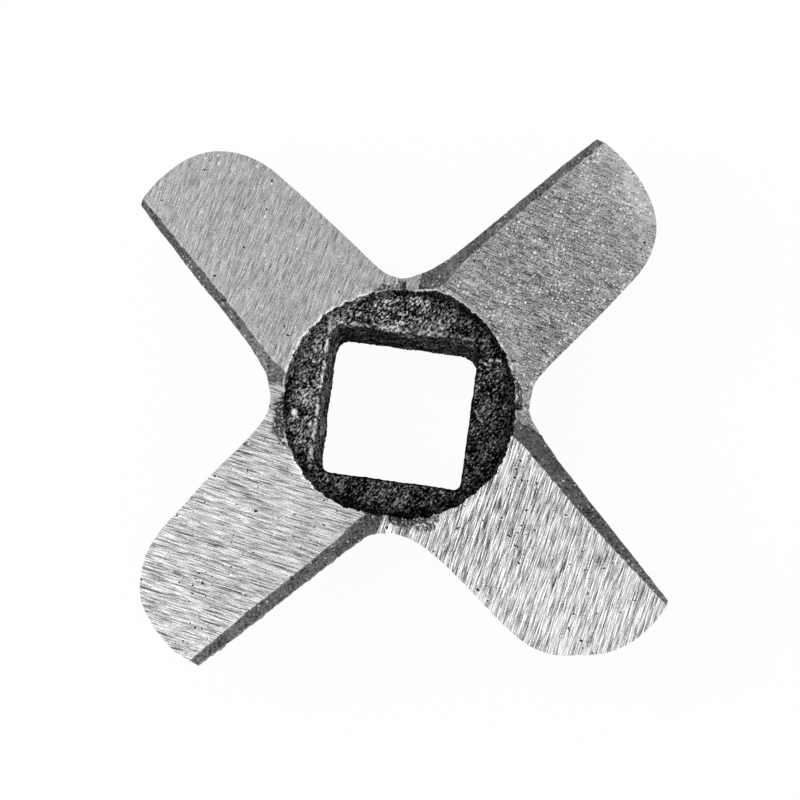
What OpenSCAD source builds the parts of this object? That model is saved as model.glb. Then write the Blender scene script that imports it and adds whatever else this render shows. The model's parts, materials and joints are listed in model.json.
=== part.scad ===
// Cross knife of a hand-cranked meat grinder.
// One iron casting: four tapered arms, a square drive hole, a cast recess round the hole on the plate
// side, and a boss behind it. Each arm's plate side is ground to its own sloping face and keen edge.
// The plate side looks up, and the origin is the centre of the boss's back face.

/* [Arms] */
// Diameter of the circle that the arm tips sweep
tip_d = 53; // [48:0.5:60]
// Width that an arm would have at the hub's centre
arm_w = 13.9; // [12:0.1:14.5]
// Angle by which each side of an arm closes in towards its tip
arm_taper = 4.3; // [2:0.1:6]
// Radius of the rounded corner on the trailing side of a tip
tip_round_r = 6.5; // [4:0.1:7]
// Thickness of an arm beside the hub
root_t = 5.2; // [4:0.1:6.5]
// Thickness of an arm at its tip
tip_t = 3.2; // [2.5:0.1:4]
// Draft of the cast walls
wall_draft = 6; // [2:0.5:8]
// Radius of the cast edge round the back of the arms
edge_r = 0.8; // [0.3:0.1:1]

/* [Ground faces] */
// Slope of an arm's face, down from its leading edge to its trailing side
face_tilt = 5.5; // [3:0.5:6]
// Width of the bevel under the leading edge, beside the hub
bevel_root_w = 1.35; // [0.9:0.05:1.7]
// Width of the bevel under the leading edge, at the tip
bevel_tip_w = 0.6; // [0.3:0.05:0.9]
// Slope of the bevel under the leading edge
bevel_slope = 42; // [36:1:60]

/* [Hub] */
// Diameter of the recess on the plate side and of the boss behind it
hub_d = 19; // [18:0.1:19.6]
// Width of the thinnest ledge between the recess and the valleys
ledge_w = 0.8; // [0.6:0.05:1.4]
// Height of the knife, from the boss's back face to the leading edges
knife_h = 11; // [9:0.5:14]
// Draft of the boss
boss_draft = 2; // [0:0.5:4]
// Chamfer round the boss's back face
boss_chamfer = 0.4; // [0.1:0.1:0.6]
// Radius between the boss and the backs of the arms
boss_fillet_r = 1.5; // [0.5:0.1:2.5]

/* [Recess] */
// Depth of the recess at its rim, below the leading edges
recess_depth = 1.8; // [1.5:0.1:2.6]
// Rise of the recess floor from its rim to the drive hole
recess_crown = 0.3; // [0.1:0.05:0.4]
// Draft of the recess wall
recess_draft = 12; // [4:1:20]
// Radius between the recess wall and its floor
recess_fillet_r = 0.5; // [0.2:0.1:0.8]

/* [Drive hole] */
// Side of the square drive hole
drive_sq = 12; // [9:0.1:12.4]
// Radius of the drive hole's corners
drive_corner_r = 0.7; // [0.3:0.1:1.5]
// Angle from a side of the drive hole to the centre line of an arm
arm_angle = 50; // [45:1:60]

/* [Hidden] */

cast_iron = "dimgray";
arm_count = 4;
arm_step = 360 / arm_count;
// Straight steps that stand for each rounded stretch
tip_steps = 4;
round_steps = 12;
valley_steps = 10;
edge_steps = 4;
fillet_steps = 8;
corner_steps = 6;
// How far a cutting or joining solid runs past the surface it crosses
over = 1;

tip_r = tip_d / 2;
hub_r = hub_d / 2;
half_w = arm_w / 2;
// Directions that the leading and trailing walls of an arm along X look in
lead_a = 90 - arm_taper;
trail_a = -lead_a;
// Where the tip circle meets the leading wall, and where the rounded corner takes over from it
corner_a = lead_a - acos(half_w / tip_r);
round_a = trail_a + acos((half_w - tip_round_r) / (tip_r - tip_round_r));
// The valley is rounded by the radius that joins two arms just outside the ledge
valley_bottom_r = hub_r + ledge_w;
valley_reach = 1 / cos(lead_a - arm_step / 2);
valley_r = (valley_bottom_r - half_w * valley_reach) / (valley_reach - 1);
// Slope of the backs of the arms
back_slope = atan((root_t - tip_t) / (tip_r - hub_r));
root_z = knife_h - root_t;
recess_z = knife_h - recess_depth;

function dir(a) = [cos(a), sin(a)];
function turned(p, a) = [p.x * cos(a) - p.y * sin(a), p.x * sin(a) + p.y * cos(a)];
function arc(centre, r, from, to, steps) =
    [for (i = [0:steps]) centre + r * dir(from + (to - from) * i / steps)];

// Height of the arms' backs at a distance from the axis
function back_z(r) = root_z + (r - hub_r) * tan(back_slope);

// How far a drafted wall has drawn in at a height
function draft_in(z) = (knife_h - z) * tan(wall_draft);

// One arm's outline, clockwise from its leading corner to the next arm's leading wall. Each entry is
// a point and the way it moves when the wall there moves out by 1.
function arm_outline() = let (
    lead = dir(lead_a),
    tip = dir(corner_a),
    round_c = (tip_r - tip_round_r) * dir(round_a),
    valley_c = (valley_bottom_r + valley_r) * dir(-arm_step / 2)
) concat(
    [[tip_r * tip, (lead + tip) / (1 + lead * tip)]],
    [for (i = [1:tip_steps]) let (a = corner_a + (round_a - corner_a) * i / tip_steps)
        [tip_r * dir(a), dir(a)]],
    [for (i = [1:round_steps]) let (a = round_a + (trail_a - round_a) * i / round_steps)
        [round_c + tip_round_r * dir(a), dir(a)]],
    [for (i = [0:valley_steps]) let (a = trail_a + (lead_a - arm_step - trail_a) * i / valley_steps)
        [valley_c - valley_r * dir(a), dir(a)]]
);

// The whole knife's outline, clockwise from the first arm's leading corner
function knife_outline() = [
    for (k = [0:arm_count - 1], e = arm_outline())
        [turned(e[0], -k * arm_step), turned(e[1], -k * arm_step)]
];

// The outline's drafted wall at one height
function flat_section(outline, z) = [
    for (e = outline) let (p = e[0] - e[1] * draft_in(z)) [p.x, p.y, z]
];

// The outline's wall at a height above the arms' sloping backs, drawn in by a further amount
function back_section(outline, rise, inset) = [
    for (e = outline) let (
        z = back_z(norm(e[0])) + rise,
        p = e[0] - e[1] * (draft_in(z) + inset)
    ) [p.x, p.y, z]
];

// A closed skin over sections with the same number of points, lowest first
module skin(sections, low_z, high_z) {
    n = len(sections[0]);
    last = (len(sections) - 1) * n;
    low_c = len(sections) * n;
    points = concat([for (s = sections, p = s) p], [[0, 0, low_z], [0, 0, high_z]]);
    walls = [
        for (j = [0:len(sections) - 2], i = [0:n - 1]) let (a = j * n + i, b = j * n + (i + 1) % n)
            each [[a, b + n, a + n], [a, b, b + n]]
    ];
    low_cap = [for (i = [0:n - 1]) [low_c, (i + 1) % n, i]];
    high_cap = [for (i = [0:n - 1]) [low_c + 1, last + i, last + (i + 1) % n]];
    polyhedron(points = points, faces = concat(low_cap, walls, high_cap));
}

// The four arms in one piece, as cast: drafted walls, thinning backs and rounded back edges
module arms() {
    outline = knife_outline();
    edge = [
        for (i = [0:edge_steps]) let (a = 90 * i / edge_steps)
            back_section(outline, edge_r * (1 - cos(a)), edge_r * (1 - sin(a)))
    ];
    skin(concat(edge, [flat_section(outline, knife_h)]), back_z(0), knife_h);
}

// The boss behind the arms
module boss() {
    back_r = hub_r - root_z * tan(boss_draft);
    top_z = root_z + over;
    rotate_extrude($fn = 96)
        polygon([
            [0, 0],
            [back_r - boss_chamfer, 0],
            [back_r, boss_chamfer],
            [hub_r + over * tan(boss_draft), top_z],
            [0, top_z]
        ]);
}

// The fillet between the boss and the arms' backs, whose flanks draw in towards the boss
module boss_fillet() {
    outline = knife_outline();
    run = boss_fillet_r * (1 / cos(boss_draft) - tan(boss_draft) / cos(back_slope))
        / (1 - tan(boss_draft) * tan(back_slope));
    drop = boss_fillet_r / cos(back_slope) - run * tan(back_slope);
    centre = [hub_r + run, root_z - drop];
    curve = arc(centre, boss_fillet_r, 180 - boss_draft, 90 + back_slope, fillet_steps);
    flank = boss_fillet_r + edge_r;
    intersection() {
        rotate_extrude($fn = 96)
            polygon(concat(
                curve,
                [curve[fillet_steps] + [0, edge_r], [hub_r - over, root_z + edge_r], [hub_r - over, curve[0].y]]
            ));
        skin(
            [back_section(outline, -flank, edge_r + flank), back_section(outline, flank, edge_r - flank)],
            back_z(0) - flank,
            back_z(0) + flank
        );
    }
}

// What is ground away over one arm, which lies along X with its leading side towards Y: everything
// above its face, from its leading edge to the bevel of the arm that follows it clockwise
module face_cut() {
    near = dir(0) * hub_r + [0, wall_y(hub_r) - bevel_root_w];
    far = dir(0) * tip_r + [0, wall_y(tip_r) - bevel_tip_w];
    edge_a = atan2(far.y - near.y, far.x - near.x);
    intersection() {
        edge_prism(near, edge_a, face_tilt);
        rotate(-arm_step) edge_prism(near, edge_a, -bevel_slope);
    }
}

// Distance of an arm's leading wall from the arm's centre line
function wall_y(x) = (half_w - x * cos(lead_a)) / sin(lead_a);

// The space over a plane that hangs from a leading edge: a positive slope falls to the trailing side
module edge_prism(start, edge_a, slope) {
    side = slope > 0 ? -1 : 1;
    drop = tip_d * tan(abs(slope));
    translate([start.x, start.y, knife_h])
        rotate(edge_a)
            rotate([90, 0, 90])
                linear_extrude(2 * tip_d, center = true)
                    polygon([[0, 0], [side * tip_d, -drop], [side * tip_d, over], [0, over]]);
}

// The cast recess round the drive hole
module recess() {
    floor_r = hub_r - recess_depth * tan(recess_draft);
    // Centre of the radius between wall and floor
    c = [floor_r - recess_fillet_r * (1 - sin(recess_draft)) / cos(recess_draft), recess_z + recess_fillet_r];
    mouth_z = knife_h + over;
    rotate_extrude($fn = 96)
        polygon(concat(
            [[0, mouth_z], [0, recess_z + recess_crown], [drive_sq / 2, recess_z + recess_crown]],
            arc(c, recess_fillet_r, -90, -recess_draft, fillet_steps),
            [[hub_r + over * tan(recess_draft), mouth_z]]
        ));
}

// The square drive hole
module drive_hole() {
    c = drive_sq / 2 - drive_corner_r;
    translate([0, 0, -over])
        linear_extrude(knife_h + 2 * over)
            polygon([
                for (k = [0:3])
                    each arc(turned([c, c], 90 * k), drive_corner_r, 90 * k, 90 * (k + 1), corner_steps)
            ]);
}

module knife() {
    color(cast_iron)
        difference() {
            rotate(arm_angle)
                difference() {
                    union() {
                        arms();
                        boss();
                        boss_fillet();
                    }
                    for (k = [0:arm_count - 1])
                        rotate(k * arm_step) face_cut();
                }
            recess();
            drive_hole();
        }
}

knife();
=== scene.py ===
import json
import math

import bpy
import numpy as np
from bpy.props import FloatProperty, FloatVectorProperty, IntProperty, PointerProperty
from mathutils import Matrix, Vector, kdtree, noise

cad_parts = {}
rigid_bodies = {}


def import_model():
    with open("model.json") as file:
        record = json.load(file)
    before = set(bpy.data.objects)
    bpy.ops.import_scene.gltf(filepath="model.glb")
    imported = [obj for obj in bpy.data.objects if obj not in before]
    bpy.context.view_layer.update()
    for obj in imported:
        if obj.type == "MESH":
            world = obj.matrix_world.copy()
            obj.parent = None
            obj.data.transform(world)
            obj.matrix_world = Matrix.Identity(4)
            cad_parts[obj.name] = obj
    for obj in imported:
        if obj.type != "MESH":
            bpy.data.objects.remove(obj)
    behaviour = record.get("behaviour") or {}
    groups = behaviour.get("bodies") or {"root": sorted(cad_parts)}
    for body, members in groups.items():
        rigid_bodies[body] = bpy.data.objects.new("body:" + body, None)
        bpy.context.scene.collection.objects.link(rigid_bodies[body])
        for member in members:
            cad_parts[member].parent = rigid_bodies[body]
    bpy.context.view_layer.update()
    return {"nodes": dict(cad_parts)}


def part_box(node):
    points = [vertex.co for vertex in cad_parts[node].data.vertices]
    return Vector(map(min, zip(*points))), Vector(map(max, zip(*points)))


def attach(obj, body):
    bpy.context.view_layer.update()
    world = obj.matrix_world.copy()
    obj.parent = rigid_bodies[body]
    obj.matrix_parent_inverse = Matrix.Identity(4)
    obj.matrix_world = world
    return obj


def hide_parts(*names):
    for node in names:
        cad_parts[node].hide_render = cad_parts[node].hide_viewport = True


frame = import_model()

bl_info = {
    "name": "Meat grinder knife",
    "version": (1, 0, 0),
    "blender": (4, 5, 0),
    "location": "3D View > Sidebar > Knife",
    "description": "Dresses the solid of a cast meat grinder knife with ground faces and cast skin",
    "category": "Add Mesh",
}

KNIFE_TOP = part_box("knife")[1].z
MM = 0.001
ARM_COUNT = 4
# Half the turn from one arm to the next, in degrees
HALF_STEP = 180 / ARM_COUNT

# What each face of the casting is, in the order of its material slots: the arms' ground faces come
# first, one slot for each arm
BEVEL, RECESS, SKIN, BOSS_BACK = range(ARM_COUNT, ARM_COUNT + 4)

# Angle from each arm's centre line to the marks that its grinding left, in degrees, on its face and
# on its bevel
MARK_ANGLES = (-65.4, -63.4, -59.4, -60.4)
BEVEL_ANGLE = 52

# How far the recess's rim wanders outwards, in hundredths of a millimetre, every 15 degrees from X
RIM_WANDER = (
    -5, -10, -17, -20, -25, -25, -30, -25, -33, -25, -15, -12,
    5, 28, 32, 36, 30, 12, -6, 26, 30, 12, 16, -14)

# How far the outline wanders outwards from the plain casting, in hundredths of a millimetre, for
# each arm: its leading wall, leading edge and trailing wall at distances along it, its tip at angles
# round the centre of its rounding, and the valley on its trailing side at angles round the axis
LEAD_AT = (10.5, 12, 14, 16, 18, 20, 22, 24, 25.5)
LEAD_WANDER = (
    (-10, -13, -11, -6, 2, 6, 14, 12, 10),
    (6, -4, -4, -6, 5, 2, -3, 2, -8),
    (-3, -3, -5, -5, -4, -2, -3, -3, -13),
    (24, 11, 10, 3, 4, 2, 1, -2, -5))
EDGE_AT = (9, 10.5, 12, 14, 17, 20, 23, 25.5)
EDGE_WANDER = (
    (-32, -14, 0, 4, 10, 6, 4, 4),
    (46, 43, 40, 28, 18, 18, 14, 6),
    (-7, 2, 5, 2, -4, -14, -15, -20),
    (-33, -24, -14, -18, -20, -8, 2, 15))
TRAIL_AT = (10.5, 12, 14, 16, 18, 20)
TRAIL_WANDER = (
    (-15, -12, -5, -1, 2, -1),
    (-26, -21, -21, -22, -23, -30),
    (-2, -1, 6, 8, 0, -5),
    (31, 23, 27, 35, 47, 45))
TIP_AT = (-90, -75, -60, -45, -30, -15, 0, 15)
TIP_WANDER = (
    (-1, 1, 6, 8, -4, -17, -12, 1),
    (-30, -32, -24, -12, 0, 3, 3, 13),
    (-5, -7, 5, 13, 29, 20, 20, 27),
    (45, 27, 1, -31, -23, -10, 5, 18))
VALLEY_AT = (-15, -12, -9, -6, -3, 0, 3, 6, 9, 12, 15)
VALLEY_WANDER = (
    (39, 48, 47, 31, 17, 15, 16, 12, -4, -17, -22),
    (-13, 8, 13, 14, -1, -16, -24, -27, -34, -40, -43),
    (15, 35, 38, 45, 42, 35, 27, 22, 19, 12, 2),
    (1, 9, 20, 36, 44, 52, 55, 59, 64, 60, 51))

# Between these distances along an arm, its own outline takes over from the valleys'
ARM_BEGINS = (9.6 * MM, 11.2 * MM)

# The centre of a tip's rounding, along and across the arm, and the radii between which the tip's
# own wander sets in
TIP_CENTRE = (19.97 * MM, 1.05 * MM)
TIP_BEGINS = (4.9 * MM, 6.5 * MM)

# Where the next arm's ledge cuts the foot of each arm's bevel: its distance from the centre line
# at FEET_AT, its slope, and how far out it ends, in millimetres
FEET_AT = 8
FEET = ((6.38, 0.6, 8.4), (6.42, 0.31, 8.8), (6.25, 0.25, 9.2), (6.0, 0.18, 9.9))

# The cast patch that the wheel missed on each arm's low ledge: its outer radius in millimetres, at
# angles from the arm's centre line
PATCHES = (
    ((-47, 9.3), (-44.6, 9.78), (-42.3, 9.8), (-38, 9.75), (-32, 9.7), (-29, 9.4)),
    ((-45, 9.4), (-43, 9.7), (-40, 9.75), (-36, 9.65), (-32, 9.5), (-29, 9.3)),
    ((-46, 9.4), (-43.2, 9.87), (-40.3, 10.3), (-36, 10.25), (-32, 10.5), (-28, 10.6), (-23, 10.2),
     (-17, 9.6)),
    ((-47, 9.6), (-44.6, 9.97), (-41.5, 10.25), (-36, 10.45), (-32, 10.85), (-27.5, 10.8), (-25, 10.2),
     (-22, 9.7)))

# A bevel with its ledge lies beyond the first of these distances along its arm, and within the
# second across it
LEDGE_ALONG, LEDGE_ACROSS = 6.3 * MM, 9.5 * MM

# How bright each arm's ground face is at distances from the axis, up to the trailing side of its tip
# Partly the face's own tone and partly painted light for how the light falls on its tilted face
FACE_TONE_AND_LIGHT_AT = (9.5, 12.5, 14, 16, 18, 20, 22, 24, 26)
FACE_TONE_AND_LIGHT = (
    (0.42, 0.42, 0.41, 0.41, 0.41, 0.43, 0.47, 0.56, 0.68),
    (0.48, 0.5, 0.51, 0.51, 0.51, 0.51, 0.52, 0.53, 0.55),
    (0.5, 0.5, 0.49, 0.49, 0.49, 0.48, 0.47, 0.47, 0.49),
    (0.52, 0.46, 0.49, 0.56, 0.6, 0.62, 0.63, 0.65, 0.7))

# Clusters of pits: their places in the plane and their reach, in millimetres
POCKS = ((9.8, -4.0, 1.6), (9.2, -2.6, 1.2), (10.4, -5.6, 1.6))

# The painted highlight on the first arm's tip: its centre in millimetres, direction in degrees, and
# length and width in millimetres
TIP_HIGHLIGHT = (16.7, 19.3, -56, 2.0, 0.8)

# How bright each arm's bevel is, at distances along the arm
SHINE_AT = (8.5, 10, 12, 14, 20, 22, 24, 26)
SHINE = (
    (1.0, 1.05, 1.05, 0.95, 1.05, 1.05, 1.0, 1.1),
    (1.75, 1.9, 1.3, 1.1, 1.0, 1.0, 1.05, 1.15),
    (1.15, 1.3, 1.3, 1.25, 1.35, 1.35, 1.45, 1.6),
    (1.05, 1.0, 1.1, 1.05, 1.1, 1.25, 1.5, 1.9))

# How far the west side of the hole bows along X, in hundredths of a millimetre, at places along it
BOW_AT = (-6, -2.2, -1, 0, 2, 4.5, 6)
BOW = (0, 0, -10, -15, -13, -9, 0)

# The rounder corners of the hole: on which side in X and in Y each is, and its radius in millimetres
# at the recess and at the boss's back
CORNERS = ((1, 1, 1.15, 1.6), (-1, 1, 1.0, 0.95), (-1, -1, 1.75, 1.8))

# Painted highlights on high spots by the recess: place and half length in millimetres, and direction in
# degrees
RECESS_HIGHLIGHTS = (
    (6.3, 3.95, 0.2, -35), (6.75, 4.35, 0.14, 40), (7.35, 4.35, 0.24, 10), (6.5, 3.55, 0.1, 0),
    (6.9, 1.6, 0.12, 60), (7.5, 5.3, 0.13, 50), (-5.0, 6.6, 0.2, 70), (-6.15, 5.35, 0.2, 60),
    (-5.85, 5.75, 0.14, 40), (-7.3, -2.2, 0.2, 60), (-7.0, -2.75, 0.17, 80), (-6.6, -3.7, 0.2, 80),
    (-2.3, 8.0, 0.2, 80), (-1.0, 7.1, 0.15, 50), (0.6, 7.4, 0.15, 45), (2.9, 7.0, 0.13, 50))

# Cracks in the ledges by the rim: direction and half width in degrees, outer radius and depth in
# millimetres
NOTCHES = (
    (4.6, 1.5, 9.78, 0.8), (95.9, 0.6, 9.75, 0.6), (272.6, 1.0, 9.8, 0.45), (202.5, 1.0, 10.3, 0.3))

# The lump on the recess's floor, with a painted glint: its direction in degrees, distance from the axis,
# half width and half length, and height, in millimetres
LUMP = (193.3, 8.6, 0.3, 0.24, 0.2)

# The hollow beside the lump, darkened with painted shade: how far it lies aside and further in, its half
# width and half length, and its depth, in millimetres
HOLLOW = (0.1, 0.55, 0.35, 0.22, 0.22)

# How bright the painted highlights on the lips of the hole are, at places along its west and north sides
LIP_AT = (-6, -4, -1, 1, 3, 6)
WEST_LIP = (0.5, 0.6, 0.6, 0.95, 1.0, 1.0)
NORTH_LIP = (0.85, 0.55, 0.5, 0.55, 0.6, 0.5)

# Stretches of the recess's rim with burrs and painted glints: start and end in degrees, and how bright
RIM_BURRS_AND_GLINTS = (
    (79, 91, 0.9), (112, 168, 1.0), (170, 184, 0.9), (-4, 3, 0.6), (8, 13, 0.8), (22, 42, 1.0),
    (55, 75, 0.5), (335, 345, 0.5), (200, 235, 0.4))

# How many nicks each leading edge has, and how strong the burr along the foot of its bevel is
NICKS = 14
FOOT_BURRS = (0.3, 0.25, 1.0, 0.25)

# Height above which a vertex belongs to the ground side of an arm
UPPER_HALF = 0.5 * KNIFE_TOP

# How deep below the knife's top the ground faces, the bevels and the ledges by the rim lie
GROUND_DEPTH, BEVEL_DEPTH, LEDGE_DEPTH = 2.6 * MM, 1.6 * MM, 1.7 * MM

# The point that the camera looks at
AIM = Vector((-0.067, 0.069, 10.0)) * MM


# Settings


class KnifeSizes(bpy.types.PropertyGroup):
    """Sizes of the casting's features and of its flaws"""

    arm_angle: FloatProperty(
        name="Arm angle", description="From the X axis to the first arm's centre line",
        default=math.radians(50), subtype="ANGLE")
    tip_radius: FloatProperty(
        name="Tip radius", description="Radius that the arm tips sweep",
        default=26.5 * MM, unit="LENGTH", precision=5)
    arm_half_width: FloatProperty(
        name="Arm half width", description="From an arm's centre line to its wall, at the axis",
        default=6.95 * MM, unit="LENGTH", precision=5)
    arm_taper: FloatProperty(
        name="Arm taper", description="Angle by which each side of an arm closes in towards its tip",
        default=math.radians(4.3), subtype="ANGLE")
    face_tilt: FloatProperty(
        name="Face tilt", description="Slope of the ground faces",
        default=math.radians(5.5), subtype="ANGLE")
    bevel_slope: FloatProperty(
        name="Bevel slope", description="Slope of the bevels under the leading edges",
        default=math.radians(42), subtype="ANGLE")
    bevel_root: FloatProperty(
        name="Bevel at the hub", description="Width of a bevel beside the hub",
        default=1.35 * MM, unit="LENGTH", precision=5)
    bevel_tip: FloatProperty(
        name="Bevel at the tip", description="Width of a bevel at the tip",
        default=0.6 * MM, unit="LENGTH", precision=5)
    hub_radius: FloatProperty(
        name="Hub radius", description="Radius of the recess and of the boss",
        default=9.5 * MM, unit="LENGTH", precision=5)
    recess_depth: FloatProperty(
        name="Recess depth", description="From the leading edges down to the rim of the recess floor",
        default=1.8 * MM, unit="LENGTH", precision=5)
    recess_crown: FloatProperty(
        name="Recess crown", description="Rise of the recess floor from its rim to the drive hole",
        default=0.3 * MM, unit="LENGTH", precision=5)
    hole_half: FloatProperty(
        name="Half drive hole", description="Half the side of the square drive hole",
        default=6 * MM, unit="LENGTH", precision=5)
    corner_radius: FloatProperty(
        name="Corner radius", description="Radius of the drive hole's corners",
        default=0.7 * MM, unit="LENGTH", precision=5)
    hole_shift: FloatVectorProperty(
        name="Hole shift", description="How far off centre the hole's core stood in the mould",
        size=2, default=(-0.34 * MM, -0.42 * MM), unit="LENGTH", precision=5)
    grain_depth: FloatProperty(
        name="Grain depth", description="Height of the cast grain in the recess",
        default=0.2 * MM, unit="LENGTH", precision=5)
    skin_depth: FloatProperty(
        name="Skin depth", description="Height of the cast skin on walls and back",
        default=0.06 * MM, unit="LENGTH", precision=5)
    lip_height: FloatProperty(
        name="Lip height", description="Height of the raised lip along two edges of the drive hole",
        default=0.16 * MM, unit="LENGTH", precision=5)
    nick_depth: FloatProperty(
        name="Nick depth", description="Depth of the deepest nicks in the leading edges",
        default=0.12 * MM, unit="LENGTH", precision=5)
    seed: IntProperty(
        name="Seed", description="Which set of small flaws the casting gets", default=7, min=0)


class KnifeFinish(bpy.types.PropertyGroup):
    """Colours of the casting's surfaces"""

    sparkling_shades: FloatVectorProperty(
        name="Sparkling face", description="Greys of the furrows and of the ridges on the first arm",
        size=2, default=(0.05, 0.75), min=0, max=1)
    fine_shades: FloatVectorProperty(
        name="Finely ground face",
        description="Greys of the furrows and of the ridges on the second arm and the boss's back",
        size=2, default=(0.15, 0.8), min=0, max=1)
    pitted_shades: FloatVectorProperty(
        name="Pitted face", description="Greys of the furrows and of the ridges on the third arm",
        size=2, default=(0.08, 0.92), min=0, max=1)
    coarse_shades: FloatVectorProperty(
        name="Coarsely ground face",
        description="Greys of the furrows and of the ridges on the fourth arm",
        size=2, default=(0.06, 0.96), min=0, max=1)
    # The bevels' dark grey is a painted reflection of the dark surroundings that their steep slope faces
    bevel_dark_reflection: FloatVectorProperty(
        name="Bevel", description="Bevels under the leading edges",
        size=3, default=(0.12, 0.121, 0.123), subtype="COLOR", min=0, max=1)
    recess_colour: FloatVectorProperty(
        name="Recess", description="Tops of the grains in the recess and the drive hole",
        size=3, default=(0.6, 0.6, 0.61), subtype="COLOR", min=0, max=1)
    skin_colour: FloatVectorProperty(
        name="Cast skin", description="Cast iron on the walls and the back",
        size=3, default=(0.085, 0.085, 0.089), subtype="COLOR", min=0, max=1)
    # Also the colour of the painted glints and highlights on edges, the rim, the lips, the lump and high
    # spots
    wear_and_glint_colour: FloatVectorProperty(
        name="Wear and painted glints", description="Bright metal along worn edges, burrs and rubbed high spots",
        size=3, default=(0.98, 0.98, 0.98), subtype="COLOR", min=0, max=1)


class KnifeStage(bpy.types.PropertyGroup):
    """Where the camera stands and how the stage is lit"""

    camera_azimuth: FloatProperty(
        name="Camera azimuth", description="Direction from the knife to the camera, from the X axis",
        default=math.radians(-67.12), subtype="ANGLE")
    camera_elevation: FloatProperty(
        name="Camera elevation", description="Height of the camera above the horizon",
        default=math.radians(82.98), subtype="ANGLE")
    camera_roll: FloatProperty(
        name="Camera roll", description="Turn of the picture about the line of sight",
        default=math.radians(7.93), subtype="ANGLE")
    camera_distance: FloatProperty(
        name="Camera distance", description="From the camera to the knife",
        default=175.08 * MM, unit="LENGTH", precision=5)
    lens: FloatProperty(name="Lens", description="Focal length, in millimetres", default=98.35)
    sky_strength: FloatProperty(
        name="Sky", description="Strength of the soft light from all round", default=0.62, min=0)
    key_strength: FloatProperty(
        name="Key", description="Strength of the large panel beside the knife", default=3.2, min=0)
    floor_shadow: FloatProperty(
        name="Floor shadow", description="How much of the knife's shadow the white floor shows",
        default=0.04, min=0, max=1)


# Modelling tools


def only(piece):
    """Selects one object, makes it active and leaves the rest alone."""
    bpy.ops.object.select_all(action="DESELECT")
    piece.select_set(True)
    bpy.context.view_layer.objects.active = piece


def modify(piece, kind, **settings):
    """Adds a modifier, sets it and applies it."""
    only(piece)
    modifier = piece.modifiers.new(kind.lower(), kind)
    for name, value in settings.items():
        setattr(modifier, name, value)
    bpy.ops.object.modifier_apply(modifier=modifier.name)


def vertices(piece):
    """Every vertex's place, in metres."""
    places = np.empty(len(piece.data.vertices) * 3)
    piece.data.vertices.foreach_get("co", places)
    return places.reshape(-1, 3)


def move_vertices(piece, places):
    """Gives every vertex its new place."""
    piece.data.vertices.foreach_set("co", places.ravel())
    piece.data.update()


def face_values(piece, name, width):
    """One property of every face."""
    values = np.empty(len(piece.data.polygons) * width)
    piece.data.polygons.foreach_get(name, values)
    return values.reshape(-1, width) if width > 1 else values


def finishes(piece):
    """The finish of every face, which is its material slot."""
    values = np.empty(len(piece.data.polygons), dtype=np.int32)
    piece.data.polygons.foreach_get("material_index", values)
    return values


def subdivide(piece, chosen):
    """Halves the chosen faces each way."""
    only(piece)
    bpy.ops.object.mode_set(mode="EDIT")
    bpy.ops.mesh.select_mode(type="FACE")
    bpy.ops.mesh.select_all(action="DESELECT")
    bpy.ops.object.mode_set(mode="OBJECT")
    piece.data.polygons.foreach_set("select", chosen)
    bpy.ops.object.mode_set(mode="EDIT")
    bpy.ops.mesh.subdivide(number_cuts=1)
    bpy.ops.object.mode_set(mode="OBJECT")


def mark(piece, name, values):
    """Stores a value from 0 to 1 for every vertex, for the materials to read."""
    attribute = piece.data.attributes.new(name, "FLOAT", "POINT")
    attribute.data.foreach_set("value", np.clip(values, 0, 1).astype(np.float32))


def rise(values, low, high):
    """0 below low, 1 above high, and a smooth rise between them."""
    t = np.clip((values - low) / (high - low), 0, 1)
    return t * t * (3 - 2 * t)


def grain(places, size, octaves=3, seed=0.0):
    """Fractal noise at each place, from about -1 to 1, with lumps of a size in metres."""
    shift = Vector((seed, 1.7 * seed, 2.3 * seed))
    return np.array([
        noise.fractal(Vector(p) / size + shift, 0.8, 2.1, octaves) for p in places])


def put_in_group(piece, name, weights):
    """Makes a vertex group with a weight for each vertex."""
    group = piece.vertex_groups.new(name=name)
    # Vertices are added by weight, in steps of a twentieth
    steps = np.round(weights * 20) / 20
    for step in np.unique(steps[steps > 0]):
        group.add(np.flatnonzero(steps == step).tolist(), float(step), "REPLACE")


def displace(piece, group, depth, size):
    """Raises and lowers the vertices of a group along their normals by a cloud pattern."""
    clouds = bpy.data.textures.new(group + " clouds", "CLOUDS")
    clouds.noise_scale = size
    clouds.noise_depth = 2
    clouds.noise_basis = "ORIGINAL_PERLIN"
    modify(
        piece, "DISPLACE", texture=clouds, texture_coords="LOCAL", vertex_group=group, strength=depth)


def arm_axes(sizes):
    """Directions of the arms' centre lines, counter-clockwise."""
    return [sizes.arm_angle + k * 2 * math.pi / ARM_COUNT for k in range(ARM_COUNT)]


def arm_frame(places, axis):
    """Places along and across an arm, whose leading side is on the left of its centre line."""
    along = places[:, 0] * math.cos(axis) + places[:, 1] * math.sin(axis)
    across = places[:, 1] * math.cos(axis) - places[:, 0] * math.sin(axis)
    return along, across


def polar(places):
    """Directions, in degrees from 0 to 360, and distances from the axis."""
    direction = np.degrees(np.arctan2(places[:, 1], places[:, 0])) % 360
    return direction, np.hypot(places[:, 0], places[:, 1])


def turn_between(direction, centre):
    """Angle from a centre to each direction, from -180 to 180 degrees."""
    return (direction - centre + 180) % 360 - 180


def wall_line(sizes, along):
    """Distance of an arm's walls from its centre line."""
    return (sizes.arm_half_width - along * math.sin(sizes.arm_taper)) / math.cos(sizes.arm_taper)


def edge_line(sizes, along):
    """Distance of an arm's leading edge from its centre line."""
    near, far = sizes.hub_radius, sizes.tip_radius
    share = (along - near) / (far - near)
    near_line = wall_line(sizes, near) - sizes.bevel_root
    far_line = wall_line(sizes, far) - sizes.bevel_tip
    return near_line + (far_line - near_line) * share


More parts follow.
